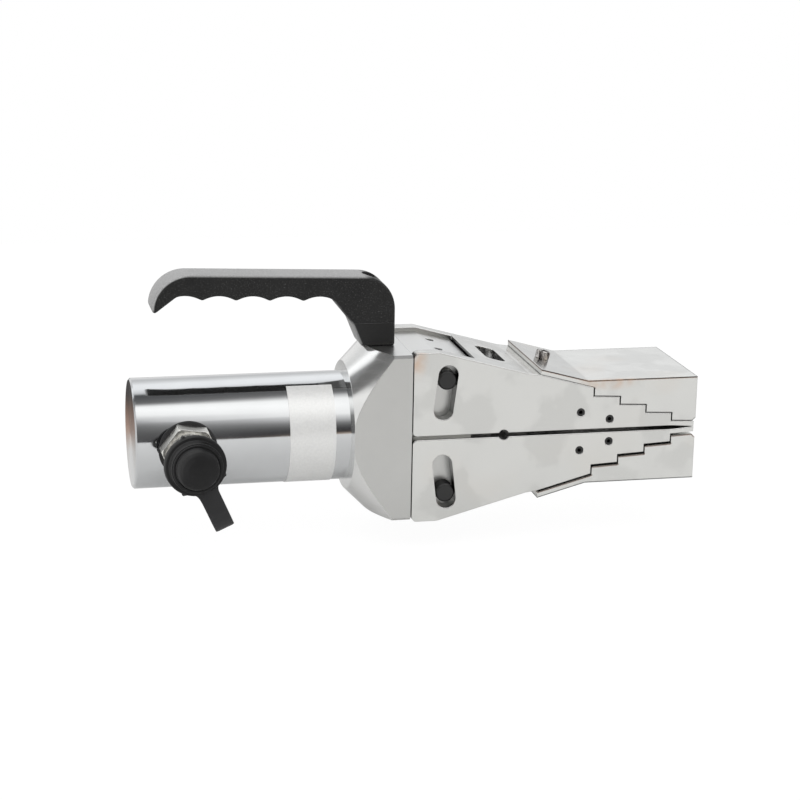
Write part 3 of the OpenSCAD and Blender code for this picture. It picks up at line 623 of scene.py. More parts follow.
def rounded(points, radius):
    """A profile whose inner corners are rounded by quadratic curves that start radius away from each."""
    t = np.linspace(0, 1, 5)[:, None]
    made = [points[:1]]
    for before, corner, after in zip(points[:-2], points[1:-1], points[2:]):
        back, on = before - corner, after - corner
        start = corner + back * min(0.45, radius / max(np.linalg.norm(back), 1e-9))
        end = corner + on * min(0.45, radius / max(np.linalg.norm(on), 1e-9))
        made.append((1 - t) ** 2 * start + 2 * t * (1 - t) * corner + t**2 * end)
    made.append(points[-1:])
    return np.concatenate(made)


def full_turn(count):
    """Angles of one whole turn, its end left out."""
    return np.linspace(0, 2 * math.pi, count, endpoint=False)


def unit(rows):
    """A table of vectors, each made one long."""
    return rows / np.linalg.norm(rows, axis=1)[:, None]


def squared(wave, power):
    """A sine or cosine pushed out towards a square wave: its sign times its size to a power below one."""
    return np.sign(wave) * np.abs(wave) ** power


def closed_ends(rings, centre):
    """The rings of a swept section with both ends drawn together to the path's end points."""
    count = rings.shape[1]
    return np.concatenate([np.repeat(centre[:1, None], count, 1), rings, np.repeat(centre[-1:, None], count, 1)])


def resampled(outline, step):
    """A closed outline walked at even steps."""
    ring = np.vstack([outline, outline[:1]])
    far = np.concatenate([[0], np.cumsum(np.linalg.norm(np.diff(ring, axis=0), axis=1))])
    even = np.linspace(0, far[-1], int(far[-1] / step), endpoint=False)
    return np.stack([np.interp(even, far, ring[:, k]) for k in range(2)], 1)


def softened(outline, step, sigma):
    """A closed outline smoothed by a Gaussian of that length, through its Fourier series."""
    wave = np.fft.fftfreq(len(outline), step)
    fade = np.exp(-2 * (math.pi * wave * sigma) ** 2)[:, None]
    return np.real(np.fft.ifft(np.fft.fft(outline, axis=0) * fade, axis=0))


def inwards(outline):
    """Unit normals of a closed outline that point into it."""
    along = unit(np.roll(outline, -1, 0) - np.roll(outline, 1, 0))
    x, z = outline.T
    area = np.sum(x * np.roll(z, -1) - np.roll(x, -1) * z)
    return np.stack([-along[:, 1], along[:, 0]], 1) * np.sign(area)


def arc(cx, cz, radius, start, end):
    """Points of an arc from start to end, in degrees."""
    a = np.radians(np.linspace(start, end, 40))
    return np.stack([cx + radius * np.cos(a), cz + radius * np.sin(a)], 1)


# ---------------------------------------------------------------- handle

# Where the row of grooves begins and ends, in grooves from the first one's edge, towards the nose and the foot
GROOVE_ROW = (0.25, 4.375)
# The web under the shoulder: shares of the way back from the foot, and of the underside's height
WEB = np.array([[0.75, 0.8], [0.34, 0.5], [0.0, 0.0]])
OUTLINE_STEP = 0.45 * MM
HANDLE_SHARP = 40
# The screw's counterbore: its radius, its distance behind the foot's front, its floor's height and the drill's length
BORE_RADIUS = 7.1 * MM
BORE_BACK = 11 * MM
BORE_FLOOR = 71.6 * MM
BORE_DEPTH = 30 * MM
# Half the gap of the seam between grip and foot
SEAM_GAP = 0.06 * MM


def handle_outline(s):
    """The handle's outline in its own frame: x back from the foot's front, z up from the body. The underside is a row
    of parabolic grooves, top - thickness - depth share squared, and the web a short run from there to the foot."""
    slope = math.tan(s.tilt)

    def top(x):
        return s.height + (x - s.shoulder) * slope

    start = s.reach - s.groove_in
    x = np.linspace(start + GROOVE_ROW[0] * s.groove_pitch, start - GROOVE_ROW[1] * s.groove_pitch, 260)
    share = ((start - x) / s.groove_pitch + 0.5) % 1 * 2 - 1
    under = np.stack([x, top(x) - s.thickness - s.groove_depth * share**2], 1)
    tip = top(s.reach) - s.nose
    end = under[-1]
    web = np.stack([s.foot_length + WEB[:, 0] * (end[0] - s.foot_length), WEB[:, 1] * end[1]], 1)
    front = np.array([[0.0, 0.0], [0.0, s.height - s.shoulder]])
    shoulder = arc(s.shoulder, s.height - s.shoulder, s.shoulder, 180, 90)
    nose = arc(s.reach - s.nose, top(s.reach - s.nose) - s.nose, s.nose, 90, 5)
    below = np.array([[s.reach - 0.5 * MM, tip - 1 * MM], [s.reach - 2 * MM, tip - 2 * MM]])
    return np.concatenate([front, shoulder, nose, below, under, web])


def handle_surface(s, finish):
    """The outline carried across the width, drawn in by edge (1 - cos a) while it nears each side by edge sin a."""
    outline = softened(resampled(handle_outline(s), OUTLINE_STEP), OUTLINE_STEP, s.soften)
    inner = softened(outline + inwards(outline) * s.edge, OUTLINE_STEP, 0.8 * MM)
    a = np.linspace(0, math.pi / 2, 6)
    inset = np.concatenate([1 - np.cos(a[::-1]), 1 - np.cos(a)])
    flank = s.width / 2 - s.edge
    place = np.concatenate([-flank - s.edge * np.sin(a[::-1]), flank + s.edge * np.sin(a)])
    flat = outline[None] + inset[:, None, None] * (inner - outline)[None]
    points = np.empty((len(place), len(outline), 3))
    points[..., 0] = s.foot_front - flat[..., 0]
    points[..., 1] = place[:, None]
    points[..., 2] = s.base + flat[..., 1]
    rows, columns = points.shape[:2]
    faces = grid_faces(rows, columns)
    faces.append(list(range(columns)))
    faces.append(list(range((rows - 1) * columns, rows * columns)))
    return mesh_piece("handle", points.reshape(-1, 3), faces, finish, HANDLE_SHARP)


def split_handle(whole, name, height, keep_above, finish):
    """A copy of the handle on one side of the seam, closed there by a flat face."""
    work = bmesh.new()
    work.from_mesh(whole.data)
    cut = bmesh.ops.bisect_plane(
        work,
        geom=work.verts[:] + work.edges[:] + work.faces[:],
        plane_co=(0, 0, height),
        plane_no=(0, 0, 1),
        clear_inner=keep_above,
        clear_outer=not keep_above,
    )
    edges = [e for e in cut["geom_cut"] if isinstance(e, bmesh.types.BMEdge)]
    bmesh.ops.contextual_create(work, geom=edges)
    return shown(name, bpy.data.meshes.new(name), work, finish, HANDLE_SHARP)


def drilled(piece, drill):
    """The piece with the drill's shape taken out of it, the result applied."""
    cutter = piece.modifiers.new("drill", "BOOLEAN")
    cutter.operation = "DIFFERENCE"
    cutter.solver = "EXACT"
    cutter.object = drill
    graph = bpy.context.evaluated_depsgraph_get()
    mesh = bpy.data.meshes.new_from_object(piece.evaluated_get(graph))
    piece.modifiers.clear()
    mesh.set_sharp_from_angle(angle=math.radians(HANDLE_SHARP))
    piece.data = mesh
    bpy.data.objects.remove(drill)
    return piece


# ---------------------------------------------------------------- studio

# The camera, solved from the photograph: its turn, drop and roll in degrees, its place and its lens in millimetres
CAMERA_ANGLES = (12.72, 15.16, 1.02)
CAMERA_PLACE = (-0.1064, -1.1864, 0.3430)
LENS = 94.55
# The key lamp: its place, its two sizes, its tilt in degrees and its power
LAMP_PLACE = (0.05, -0.9, 1.25)
LAMP_SIZES = (1.6, 0.8)
LAMP_TILT = 36
LAMP_POWER = 9
# Brightest panel of the studio, and for each angle (up from the level in front, over the top and to the back,
# in degrees) the light there as a share of it; then the grey of both ends and the light on matt surfaces
PEAK = 1.35
STUDIO = (
    (-180, 0.48), (-40, 0.46), (-12, (0.50, 0.49, 0.48)), (-7, (0.46, 0.40, 0.35)), (-4, (0.28, 0.22, 0.18)),
    (-1, (0.040, 0.036, 0.034)), (8, (0.050, 0.049, 0.051)), (16, 0.10), (24, 0.20), (37, 0.60),
    (46, (0.90, 0.90, 0.89)), (62, (1.00, 1.00, 0.99)), (73, (0.93, 0.93, 0.92)), (82, 0.30), (87, 0.14),
    (100, (0.090, 0.092, 0.095)), (109, (0.075, 0.077, 0.080)), (115, (0.60, 0.61, 0.62)), (128, (0.84, 0.85, 0.86)),
    (142, (0.84, 0.85, 0.86)), (154, (0.62, 0.625, 0.63)), (165, (0.485, 0.49, 0.495)), (180, 0.62),
)
END_GREY = grey(0.55)
MATT_LIGHT = 0.80
# How the panels shift along the tool. Leaning and turning back: the two shares of a turn, and the two directions along
# the tool between which they change. Slides: the two angles, the two directions, and the turn in degrees at each
LEAN = (0.030, -0.030, 0.08, 0.25)
TURN_BACK = (0, -0.10, -0.50, -0.68)
FRONT_SLIDE = ((-4, 82), (0.08, 0.20), (-20.5, 12.8))
LEVEL_SLIDE = ((-60, 28), (0.09, 0.17), (7.0, 0.0))
# The floor: its middle, its half size and its level, its light to the camera and the share of that in what it sees
FLOOR_MIDDLE = 0.17
FLOOR_REACH = 0.95
FLOOR_LEVEL = -0.0695
FLOOR_LIGHT = 1.06
FLOOR_SHARE = 0.90
# The floor as polished metal sees it: pale, and behind the barrel's end a board by its distance from the tool in metres
FLOOR_TINT = (0.74, 0.74, 0.735, 1)
BOARD = (
    (0.10, (0.74, 0.74, 0.735)), (0.20, (0.74, 0.74, 0.735)), (0.25, (0.55, 0.42, 0.36)), (0.30, (0.30, 0.21, 0.17)),
    (0.34, 0.10), (0.42, 0.14), (0.60, 0.30),
)



def place_camera(scene):
    """The photograph's camera: its axes from its turn about the upright, its drop below level and its roll."""
    turn, drop, roll = (math.radians(v) for v in CAMERA_ANGLES)
    ahead = np.array([math.sin(turn) * math.cos(drop), math.cos(turn) * math.cos(drop), -math.sin(drop)])
    right = np.cross(ahead, [0, 0, 1])
    right /= np.linalg.norm(right)
    up = np.cross(right, ahead)
    c, s = math.cos(roll), math.sin(roll)
    right, up = c * right + s * up, c * up - s * right
    made = bpy.data.cameras.new("camera")
    made.sensor_width = 36
    made.lens = LENS
    made.clip_start, made.clip_end = 0.05, 20
    camera = bpy.data.objects.new("camera", made)
    whole = np.eye(4)
    whole[:3, :3] = np.stack([right, up, -ahead], 1)
    whole[:3, 3] = CAMERA_PLACE
    camera.matrix_world = Matrix(whole.tolist())
    scene.collection.objects.link(camera)
    scene.camera = camera


def hang_lamp(scene):
    """A wide soft lamp over the tool's front, which gloss doesn't mirror."""
    lamp = bpy.data.lights.new("key lamp", "AREA")
    lamp.shape = "RECTANGLE"
    lamp.size, lamp.size_y = LAMP_SIZES
    lamp.energy = LAMP_POWER
    key = bpy.data.objects.new("key lamp", lamp)
    key.location = LAMP_PLACE
    key.rotation_euler = (math.radians(LAMP_TILT), 0, 0)
    key.visible_glossy = False
    scene.collection.objects.link(key)


def lit(tree, kind, colour, strength):
    """What a Background or an Emission gives."""
    return add(tree, kind, colour, strength).outputs[0]


def either(tree, mask, first, second):
    """The first of two shaders, and the second where a mask rises."""
    return add(tree, "MixShader", mask, first, second).outputs[0]


def slide(tree, place, along, between, reach, turns):
    """A shift of the panels between two angles, largest half way between them, that changes along the tool from the
    first of two turns to the second; angles and turns in degrees."""
    window = spread(tree, place, 0, math.pi, *(0.5 + angle / 360 for angle in between))
    turn = spread(tree, along, *(angle / 360 for angle in turns), *reach)
    return maths(tree, "MULTIPLY", maths(tree, "SINE", window), turn)


def light_world(scene):
    """White for the camera, plain light for matt surfaces, and for gloss the studio's long panels, by the angle
    atan2(up, towards the front) of each direction, leaned a little along the tool and fading there to an even grey."""
    world = bpy.data.worlds.new("studio")
    scene.world = world
    world.use_nodes = True
    tree = world.node_tree
    tree.nodes.clear()
    along, back, up = parts(tree, coordinates(tree, "Generated"))
    angle = maths(tree, "ARCTAN2", up, maths(tree, "MULTIPLY", back, -1))
    place = spread(tree, angle, 0, 1, -math.pi, math.pi)
    leaned = maths(tree, "ADD", place, spread(tree, along, *LEAN))
    front = slide(tree, place, along, *FRONT_SLIDE)
    level = slide(tree, place, along, *LEVEL_SLIDE)
    slid = maths(tree, "ADD", leaned, maths(tree, "ADD", front, level))
    panels = ramp(tree, maths(tree, "ADD", slid, spread(tree, along, *TURN_BACK)), STUDIO)
    ends = spread(tree, maths(tree, "ABSOLUTE", along), 0, 1, 0.80, 0.97, "SMOOTHSTEP")
    gloss = lit(tree, "Background", blend(tree, ends, panels, END_GREY), PEAK)
    matt = lit(tree, "Background", WHITE, MATT_LIGHT)
    rays = add(tree, "LightPath").outputs
    mirrored = either(tree, rays["Is Glossy Ray"], matt, gloss)
    final = either(tree, rays["Is Camera Ray"], mirrored, lit(tree, "Background", WHITE, 1.0))
    add(tree, "OutputWorld", final)


def make_floor():
    """A wide floor below the opened jaws: white to the camera with the tool's faint shadow, pale grey to gloss."""
    u = np.linspace(-1, 1, 3)
    x, y = np.meshgrid(FLOOR_MIDDLE + u * FLOOR_REACH, u * FLOOR_REACH)
    points = np.stack([x.ravel(), y.ravel(), np.full(x.size, FLOOR_LEVEL)], 1)
    made, tree, shader = material("studio floor")
    rays = add(tree, "LightPath").outputs
    place = parts(tree, coordinates(tree))
    board = ramp(tree, spread(tree, place["Y"], 0, 1, BOARD[0][0], BOARD[-1][0]), BOARD)
    rear = spread(tree, place["X"], 1, 0, 0.02, 0.06)
    laid = blend(tree, maths(tree, "MULTIPLY", rear, rays["Is Glossy Ray"]), FLOOR_TINT, board)
    feed(tree, shader, base_color=laid, roughness=0.9, specular_ior_level=0.0)
    mostly = maths(tree, "MULTIPLY", rays["Is Camera Ray"], FLOOR_SHARE)
    seen = either(tree, mostly, shader.outputs[0], lit(tree, "Emission", WHITE, FLOOR_LIGHT))
    feed(tree, tree.nodes["Material Output"], surface=seen)
    return mesh_piece("floor", points, grid_faces(3, 3, wrap_columns=False), made)


class SPREADER_OT_stage(bpy.types.Operator):
    """Camera, world, lamp and floor"""

    bl_idname = "spreader.stage"
    bl_label = "Studio"

    def execute(self, context):
        context.scene.view_settings.view_transform = "Standard"
        place_camera(context.scene)
        light_world(context.scene)
        hang_lamp(context.scene)
        make_floor()
        return {"FINISHED"}


# ---------------------------------------------------------------- pieces


class SPREADER_OT_steel(bpy.types.Operator):
    """Finishes of the body, jaws and step blocks"""

    bl_idname = "spreader.steel"
    bl_label = "Body, jaws and blocks"

    def execute(self, context):
        c = context.scene.spreader_colours
        coat(["body_block"], body_finish(c.body))
        coat(["upper_jaw", "lower_jaw"], jaw_finish(c.jaws))
        coat(["upper_step_block", "lower_step_block"], block_finish(c.jaws))
        return {"FINISHED"}


class SPREADER_OT_barrel(bpy.types.Operator):
    """Finishes of the barrel and its plain label"""

    bl_idname = "spreader.barrel"
    bl_label = "Barrel and label"

    def execute(self, context):
        c = context.scene.spreader_colours
        coat(["barrel"], barrel_finish(c.chrome))
        coat(["barrel_label"], label_finish(c.label))
        return {"FINISHED"}


class SPREADER_OT_handle(bpy.types.Operator):
    """Hook handle with finger grooves, and its foot"""

    bl_idname = "spreader.handle"
    bl_label = "Handle"

    def execute(self, context):
        s, c = context.scene.spreader_handle, context.scene.spreader_colours
        # The grip and the foot are painted paler as a sheen on faces that look up or to the rear
        grained = moulded("grip grain", c.grip, 0.48, 1400.0, 0.50, 0.32, sheen=0.3, painted_sheen=0.78)
        smooth = moulded("foot plastic", c.foot, 0.42, 2200.0, 0.12, 0.06, sheen=0.2, painted_sheen=0.7)
        whole = handle_surface(s, grained)
        seam = s.base + s.foot_height
        grip = split_handle(whole, "hook_grip", seam + SEAM_GAP, True, grained)
        foot = split_handle(whole, "hook_foot", seam - SEAM_GAP, False, smooth)
        bpy.data.objects.remove(whole)
        profile = [(0, 0), (BORE_RADIUS, 0), (BORE_RADIUS, BORE_DEPTH), (0, BORE_DEPTH)]
        centre = (s.foot_front - BORE_BACK, 0, BORE_FLOOR)
        drilled(grip, turned("bore", profile, full_turn(48), centre, (0, 0, 1), (1, 0, 0), smooth))
        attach(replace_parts(grip, "handle_grip"), "body")
        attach(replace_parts(foot, "handle_foot"), "body")
        coat(["handle_screw"], plated("screw oxide", c.oxide, 0.35, 0.5, clouds=300.0))
        return {"FINISHED"}


# The coupler's flutes and thread, its root in the barrel's wall, and a radius wider than the hexagon's corners
FLUTES = 24
FLUTE_DEPTH = 0.35 * MM
THREAD_PITCH = 1.6 * MM
THREAD_DEPTH = 0.30 * MM
STUB_RADIUS = 8.2 * MM
STUB_END = -24 * MM
BLANK_RADIUS = 20 * MM


def hexagon(angles, across_flats, turn):
    """Radius of a hexagon at each angle: half its width across flats over the cosine of the angle from the nearest
    flat."""
    part = (angles - turn) % (math.pi / 3) - math.pi / 6
    return across_flats / 2 / np.cos(part)


class SPREADER_OT_coupler(bpy.types.Operator):
    """Coupler half: chamfered hexagon, fluted sleeve and threaded nose"""

    bl_idname = "spreader.coupler"
    bl_label = "Coupler"

    def execute(self, context):
        s, c = context.scene.spreader_coupler, context.scene.spreader_colours
        hex_end = s.hexagon_length
        sleeve_end = hex_end + s.sleeve_length
        end = sleeve_end + s.mouth_length
        angles = full_turn(288) + s.hexagon_turn

        def shape(r, h, a):
            """Hexagon cut by a cone at its front, shallow flutes on the sleeve, a helical thread on the nose."""
            corner = s.hexagon / 2 / math.cos(math.pi / 6)
            cone = corner - 0.9 * MM + (hex_end - h) * 1.7
            sides = np.minimum(hexagon(a, s.hexagon, s.hexagon_turn), cone)
            flutes = r - FLUTE_DEPTH * np.abs(np.sin(FLUTES / 2 * a))
            thread = r + THREAD_DEPTH * np.sin(2 * math.pi * h / THREAD_PITCH - a)
            in_hex = (h <= hex_end) & (r > 0.6 * s.hexagon)
            in_sleeve = (h > hex_end + 1.5 * MM) & (h < sleeve_end - 1.5 * MM) & (r > 0.49 * s.sleeve)
            in_thread = (h > sleeve_end + 1 * MM) & (h < end - 0.8 * MM) & (r > 0.4 * s.mouth)
            shaped = np.where(in_hex, np.minimum(r, sides), r + 0 * a)
            return np.where(in_sleeve, flutes, np.where(in_thread, thread, shaped))

        sleeve, mouth, bore, neck = s.sleeve / 2, s.mouth / 2 - 0.3 * MM, s.bore / 2, s.neck / 2
        profile = [
            (0, STUB_END), (STUB_RADIUS, STUB_END), (STUB_RADIUS, -s.neck_length), (neck, -s.neck_length), (neck, 0),
            *((BLANK_RADIUS, h) for h in np.linspace(0, hex_end, 16)),
            (sleeve - 0.6 * MM, hex_end), (sleeve - 0.6 * MM, hex_end + 1.2 * MM), (sleeve, hex_end + 1.8 * MM),
            (sleeve, sleeve_end - 1.8 * MM), (sleeve - 0.5 * MM, sleeve_end - 1.2 * MM),
            (sleeve - 0.5 * MM, sleeve_end), *((mouth, h) for h in np.linspace(sleeve_end, end - 0.8 * MM, 60)),
            (mouth - 0.7 * MM, end), (bore + 0.4 * MM, end), (bore, end - 0.4 * MM), (bore, sleeve_end + 0.4 * MM),
            (0, sleeve_end),
        ]
        lay, edge = (1.0, 0.05, 1.0), 0.5 * MM
        # The coupler's nickel carries a painted highlight along upper edges
        nickel = plated("coupler nickel", c.nickel, 0.28, 0.34, clouds=60.0, edge=edge, wave=0.01, lay=lay, painted_highlight=0.6)
        made = turned("coupler_half", profile, angles, (PORT_X, -s.seat, 0), (0, -1, 0), (1, 0, 0), nickel, shape)
        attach(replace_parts(made, "coupler_body"), "body")
        coat(["coupler_washer"], moulded("washer rubber", c.rubber, 0.45, 3000.0, 0.1))
        return {"FINISHED"}


# Half section of the dust cap, radius and height over its back in millimetres: dome, neck, two rings, flange, hollow
CAP_PROFILE = (
    (0, 14.95), (3, 14.8), (6, 14.35), (9, 13.5), (10.9, 12.6), (11.8, 11.5), (12.0, 10.0), (12.5, 9.2),
    (13.2, 9.2), (13.5, 8.6), (14.5, 8.5), (14.7, 7.6), (14.7, 5.2), (15.2, 4.1), (16.9, 4.0), (17.55, 3.3),
    (17.6, 0.7), (17.1, 0.0), (14.2, 0.0), (13.9, 0.4), (13.9, 9.3), (0, 9.3),
)
# The soft cap's and the strap's sideways set at the coupler, and the cap's depth
CAP_ASIDE = 0.5 * MM
CAP_DEPTH = 15 * MM
# Pull nub on the flange and notch over the strap: size, angle and half width, both angles in degrees
NUB = (1.3 * MM, 112, 3.2)
NOTCH = (2.2 * MM, 294, 5)


def cap_drift(s):
    """Centre of each turned row of the soft cap: it leans sideways and sags as it stands out from the coupler."""

    def move(h):
        share = np.clip(h / CAP_DEPTH, 0, 1)
        return np.stack([CAP_ASIDE + s.cap_drift * share, 0 * h, 0 * h - s.cap_sag], 1)

    return move


def bump(angles, size, at, reach, power):
    """A rise at one angle that falls as exp(-(off / reach) to a power)."""
    return size * np.exp(-(((angles - math.radians(at)) / math.radians(reach)) ** power))


class SPREADER_OT_dust_cap(bpy.types.Operator):
    """Rubber dust cap and its strap"""

    bl_idname = "spreader.dust_cap"
    bl_label = "Dust cap and strap"

    def execute(self, context):
        s, c = context.scene.spreader_coupler, context.scene.spreader_colours
        # The cap is painted a little paler as a sheen on faces that look up or to the rear
        rubber = moulded("cap rubber", c.rubber, 0.42, 2600.0, 0.08, 0.02, 0.4 * MM, gloss=0.28, painted_sheen=0.05, edged=0.06)
        rim = s.flange / 2

        def shape(r, h, a):
            """The radius swells at the pull nub and is notched over the strap."""
            on_flange = (r > rim - 0.6 * MM) & (h < 3.4 * MM)
            over_strap = (r > rim - 2 * MM) & (h > 2.1 * MM) & (h < 4.2 * MM)
            swollen = r + np.where(on_flange, bump(a, *NUB, 2), 0 * a)
            return swollen - np.where(over_strap, bump(a, *NOTCH, 6), 0 * a)

        profile = rounded(np.array(CAP_PROFILE) * MM, 0.5 * MM)
        back = (PORT_X, -s.cap_back, 0)
        cap = turned(
            "rubber_cap", profile, full_turn(288), back, (0, -1, 0), (1, 0, 0), rubber, shape, cap_drift(s), 50
        )
        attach(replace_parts(cap, "dust_cap"), "cap")
        edged = moulded("strap rubber", dim(c.rubber, 2.3), 0.50, 2600.0, 0.08, 0.02, 0.4 * MM, edged=0.06)
        strap = strap_surface(s, edged)
        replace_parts(strap, "cap_strap")
        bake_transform(strap)
        return {"FINISHED"}


# The strap's two runs start this far from the cap's centre, at the flange and at the eye
STRAP_START = 12 * MM
STRAP_END = 13.5 * MM
# The fillet at the flange: its half width there, how soon it falls and the most that is taken of it
FILLET = 7.5 * MM
FILLET_RUN = 1.9 * MM
FILLET_MOST = 8 * MM
# Play between the strap's eye and the coupler's seat, and round its neck
SEAT_PLAY = 0.03 * MM
NECK_PLAY = 0.3 * MM


def strap_surface(s, finish):
    """A rounded flat section carried down the strap's lean, round its fold and back to an eye round the neck. Its half
    width grows near the flange as an exponential fillet."""
    thick = s.strap_thickness
    near = s.cap_back + thick / 2
    far = s.seat - SEAT_PLAY - thick / 2
    radius, middle = (near - far) / 2, (near + far) / 2
    run = s.strap_reach - radius - thick / 2
    a = np.linspace(0, math.pi, 48)
    front = np.stack([np.linspace(STRAP_START, run, 40, endpoint=False), np.full(40, near)], 1)
    fold = np.stack([run + radius * np.sin(a), middle + radius * np.cos(a)], 1)
    rear = np.stack([np.linspace(run, STRAP_END, 24)[1:], np.full(23, far)], 1)
    path = np.concatenate([front, fold, rear])
    along = unit(np.gradient(path, axis=0))
    out = np.stack([along[:, 1], -along[:, 0]], 1)
    fillet = FILLET * np.exp(-(path[:, 0] - STRAP_END) / FILLET_RUN) * (path[:, 1] > middle)
    half = s.strap_width / 2 + np.minimum(fillet, FILLET_MOST)
    q = full_turn(32)
    down = np.array([math.sin(s.strap_lean), 0, -math.cos(s.strap_lean)])
    lateral = np.array([math.cos(s.strap_lean), 0, math.sin(s.strap_lean)])
    depth = np.array([0, -1.0, 0])
    centre = np.array([PORT_X + CAP_ASIDE, 0, -s.cap_sag]) + path[:, :1] * down + path[:, 1:] * depth
    normal = out[:, :1] * down + out[:, 1:] * depth
    wide = half[:, None, None] * squared(np.cos(q), 0.25)[None, :, None] * lateral
    deep = thick / 2 * squared(np.sin(q), 0.45)[None, :, None] * normal[:, None]
    band = closed_ends(centre[:, None] + wide + deep, centre)
    inner, outer = s.neck / 2 + NECK_PLAY, s.eye / 2
    e, corner = full_turn(64), full_turn(16)
    r = (inner + outer) / 2 + (outer - inner) / 2 * squared(np.cos(corner), 0.35)
    y = far + thick / 2 * squared(np.sin(corner), 0.5)
    eye = np.stack([PORT_X + r[:, None] * np.cos(e), np.repeat(-y[:, None], len(e), 1), r[:, None] * np.sin(e)], -1)
    eye_faces = np.array(grid_faces(len(corner), len(e), wrap_rows=True)) + band.shape[0] * band.shape[1]
    faces = np.concatenate([grid_faces(len(band), len(q)), eye_faces])
    points = np.concatenate([band.reshape(-1, 3), eye.reshape(-1, 3)])
    return mesh_piece("rubber_strap", points, faces.tolist(), finish, 50)


# The block screws: how far their holes lean, in degrees, the place where a hole's axis is measured from, the height
# of a head's underside over it, and how much farther out the lower screw sits
SCREW_LEAN = 15.2
SCREW_X = 247.9 * MM
SCREW_Z = 32.74 * MM
HEAD_HEIGHT = 3.4 * MM
LOWER_DROP = 1.2 * MM
# Half section of a block screw, radius and height in millimetres: shank, head and the hexagon hole
SCREW_PROFILE = (
    (0, -12), (2.0, -12), (2.45, -11.4), (2.45, 0), (3.7, 0), (4.25, 0.4), (4.25, 0.9), (4.25, 4.1), (4.1, 4.6),
    (3.7, 4.98), (2.75, 5.0), (2.5, 4.85), (2.5, 2.5), (0, 2.2),
)
KEY_WIDTH = 4.2 * MM
KNURLS = 36
KNURL_DEPTH = 0.16 * MM


class SPREADER_OT_fasteners(bpy.types.Operator):
    """Jaw pins, set screws and the knurled screws of the step blocks"""

    bl_idname = "spreader.fasteners"
    bl_label = "Pins and screws"

    def execute(self, context):
        c = context.scene.spreader_colours
        oxide = plated("black oxide", c.oxide, 0.34, 0.46, clouds=260.0, edge=0.5 * MM, wave=0.02)
        coat(["upper_jaw_pin", "lower_jaw_pin", "pin_lock_screws", "upper_jaw_screws", "lower_jaw_screws"], oxide)
        zinc = screw_finish(c.zinc)
        lean = math.radians(SCREW_LEAN)
        for side, name, drop in ((1, "upper", 0.0), (-1, "lower", LOWER_DROP)):
            axis = np.array([math.sin(lean), 0, side * math.cos(lean)])
            centre = np.array([SCREW_X, 0, side * SCREW_Z]) + (HEAD_HEIGHT + drop * math.cos(lean)) * axis
            across = np.array([math.cos(lean), 0, -side * math.sin(lean)])
            made = knurled_screw(f"{name}_cap_screw", centre, axis, across, zinc)
            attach(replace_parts(made, f"{name}_block_screw"), f"{name}_jaw")
        return {"FINISHED"}


def knurled_screw(name, centre, axis, across, finish):
    """Cap screw: knurl r - depth |sin(knurls a / 2)| on the head's wall, a rounded rim, a hexagon hole and a plain
    shank."""

    def shape(r, h, a):
        wall = (r > 4.2 * MM) & (h > 0.8 * MM) & (h < 4.3 * MM)
        hollow = (r < 2.6 * MM) & (h > 2.4 * MM) & (r > 0)
        keyed = np.where(hollow, np.minimum(r, hexagon(a, KEY_WIDTH, 0)), r + 0 * a)
        return np.where(wall, r - KNURL_DEPTH * np.abs(np.sin(KNURLS / 2 * a)), keyed)

    return turned(name, np.array(SCREW_PROFILE) * MM, full_turn(216), centre, axis, across, finish, shape, None, 30)


WIRE = 4 * MM
COIL_RADIUS = 19.5 * MM
COIL_TURNS = 5.5
# Part of a turn at each end that lies closed
COIL_END = 0.6


def coil_spring(name, start, end, finish):
    """A round wire wound about the ram's axis with closed ends: its centre runs at the coil's radius and moves on by a
    pitch that is small at both ends, and its section stands square to the wire."""
    t = np.linspace(0, 1, 240)
    open_part = np.clip((0.5 - np.abs(t - 0.5)) * COIL_TURNS - COIL_END, 0, COIL_END) / COIL_END
    pitch = np.cumsum(0.45 + open_part)
    x = start + WIRE / 2 + (end - start - WIRE) * (pitch - pitch[0]) / (pitch[-1] - pitch[0])
    a = 2 * math.pi * COIL_TURNS * t
    centre = np.stack([x, COIL_RADIUS * np.cos(a), COIL_RADIUS * np.sin(a)], 1)
    ahead = unit(np.gradient(centre, axis=0))
    out = np.stack([0 * a, np.cos(a), np.sin(a)], 1)
    side = np.cross(ahead, out)
    q = full_turn(12)
    ring = np.cos(q)[None, :, None] * out[:, None] + np.sin(q)[None, :, None] * side[:, None]
    body = closed_ends(centre[:, None] + WIRE / 2 * ring, centre)
    return mesh_piece(name, body.reshape(-1, 3), grid_faces(len(body), len(q)), finish, 50)


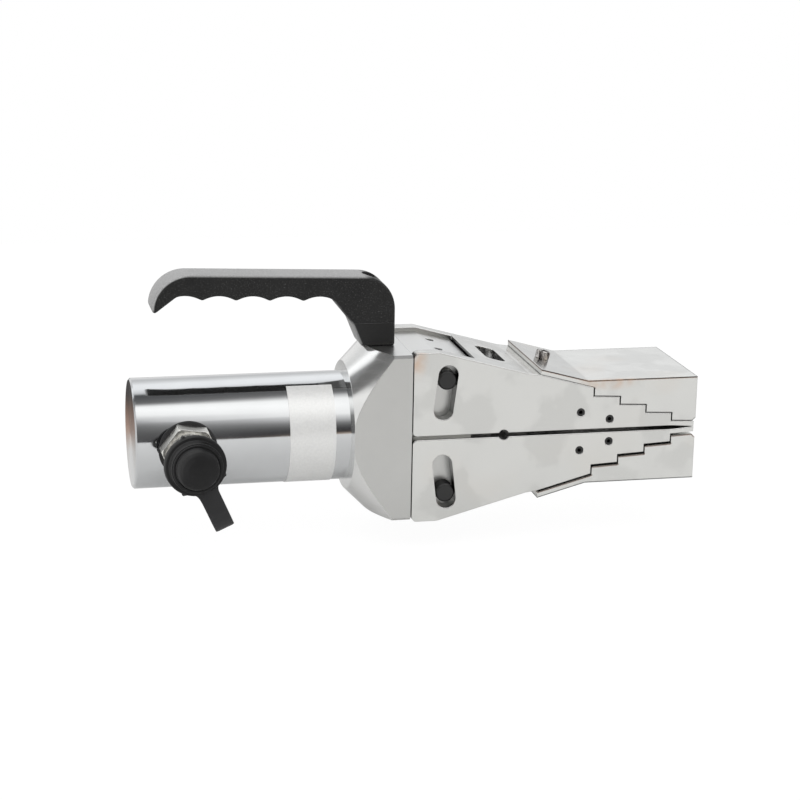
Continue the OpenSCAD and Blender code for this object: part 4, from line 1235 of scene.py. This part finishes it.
class SPREADER_OT_ram(bpy.types.Operator):
    """Finishes of the ram, wedge and seals, and the return spring"""

    bl_idname = "spreader.ram"
    bl_label = "Ram and wedge"

    def execute(self, context):
        c = context.scene.spreader_colours
        coat(["ram_rod"], plated("rod chrome", c.chrome, 0.06, 0.12, clouds=60.0, lay=(0.05, 1.0, 1.0)))
        steel = plated("wedge steel", (0.42, 0.42, 0.43, 1), 0.28, 0.36, clouds=90.0, lay=(0.06, 1.0, 1.0), warm=0.15)
        coat(["wedge", "upper_key", "lower_key", "piston"], steel)
        coat(["wedge_pin", "key_screws", "piston_nut"], plated("inner oxide", c.oxide, 0.3, 0.45, clouds=260.0))
        coat(["guide_bush"], plated("bush bronze", c.bronze, 0.28, 0.36, clouds=120.0, lay=(1.0, 0.05, 0.05)))
        wire = plated("spring wire", (0.30, 0.30, 0.31, 1), 0.28, 0.42, clouds=300.0, edge=0.1 * MM)
        low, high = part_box("return_spring")
        coil = coil_spring("return_coil", low.x, high.x, wire)
        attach(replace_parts(coil, "return_spring"), "body")
        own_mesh(coil)
        coat(["bush_seal", "rod_wiper"], moulded("black seal", c.rubber, 0.4, 3000.0, 0.08))
        coat(["piston_seal"], moulded("blue seal", (0.05, 0.11, 0.30, 1), 0.35, 3000.0, 0.05))
        coat(["piston_wear_ring"], moulded("wear ring", (0.40, 0.29, 0.14, 1), 0.6, 2500.0, 0.2))
        return {"FINISHED"}


class SPREADER_PT_panel(bpy.types.Panel):
    """Lists the pieces of the spreader"""

    bl_label = "Flange spreader"
    bl_idname = "SPREADER_PT_panel"
    bl_space_type = "VIEW_3D"
    bl_region_type = "UI"
    bl_category = "Spreader"

    def draw(self, context):
        for operator in OPERATORS:
            self.layout.operator(operator.bl_idname)


OPERATORS = (
    SPREADER_OT_stage,
    SPREADER_OT_steel,
    SPREADER_OT_barrel,
    SPREADER_OT_handle,
    SPREADER_OT_coupler,
    SPREADER_OT_dust_cap,
    SPREADER_OT_fasteners,
    SPREADER_OT_ram,
)
SETTINGS = {
    "spreader_handle": SpreaderHandleSizes,
    "spreader_coupler": SpreaderCouplerSizes,
    "spreader_colours": SpreaderColours,
}
CLASSES = (*SETTINGS.values(), *OPERATORS, SPREADER_PT_panel)


def register():
    """Registers the settings, operators and panel."""
    for item in CLASSES:
        bpy.utils.register_class(item)
    for name, kind in SETTINGS.items():
        setattr(bpy.types.Scene, name, bpy.props.PointerProperty(type=kind))


def unregister():
    """Takes the settings, operators and panel out again."""
    for name in SETTINGS:
        delattr(bpy.types.Scene, name)
    for item in reversed(CLASSES):
        bpy.utils.unregister_class(item)


def main():
    register()
    build_groups()
    bpy.ops.spreader.stage()
    bpy.ops.spreader.steel()
    bpy.ops.spreader.barrel()
    bpy.ops.spreader.handle()
    bpy.ops.spreader.coupler()
    bpy.ops.spreader.dust_cap()
    bpy.ops.spreader.fasteners()
    bpy.ops.spreader.ram()


if __name__ == "__main__":
    main()
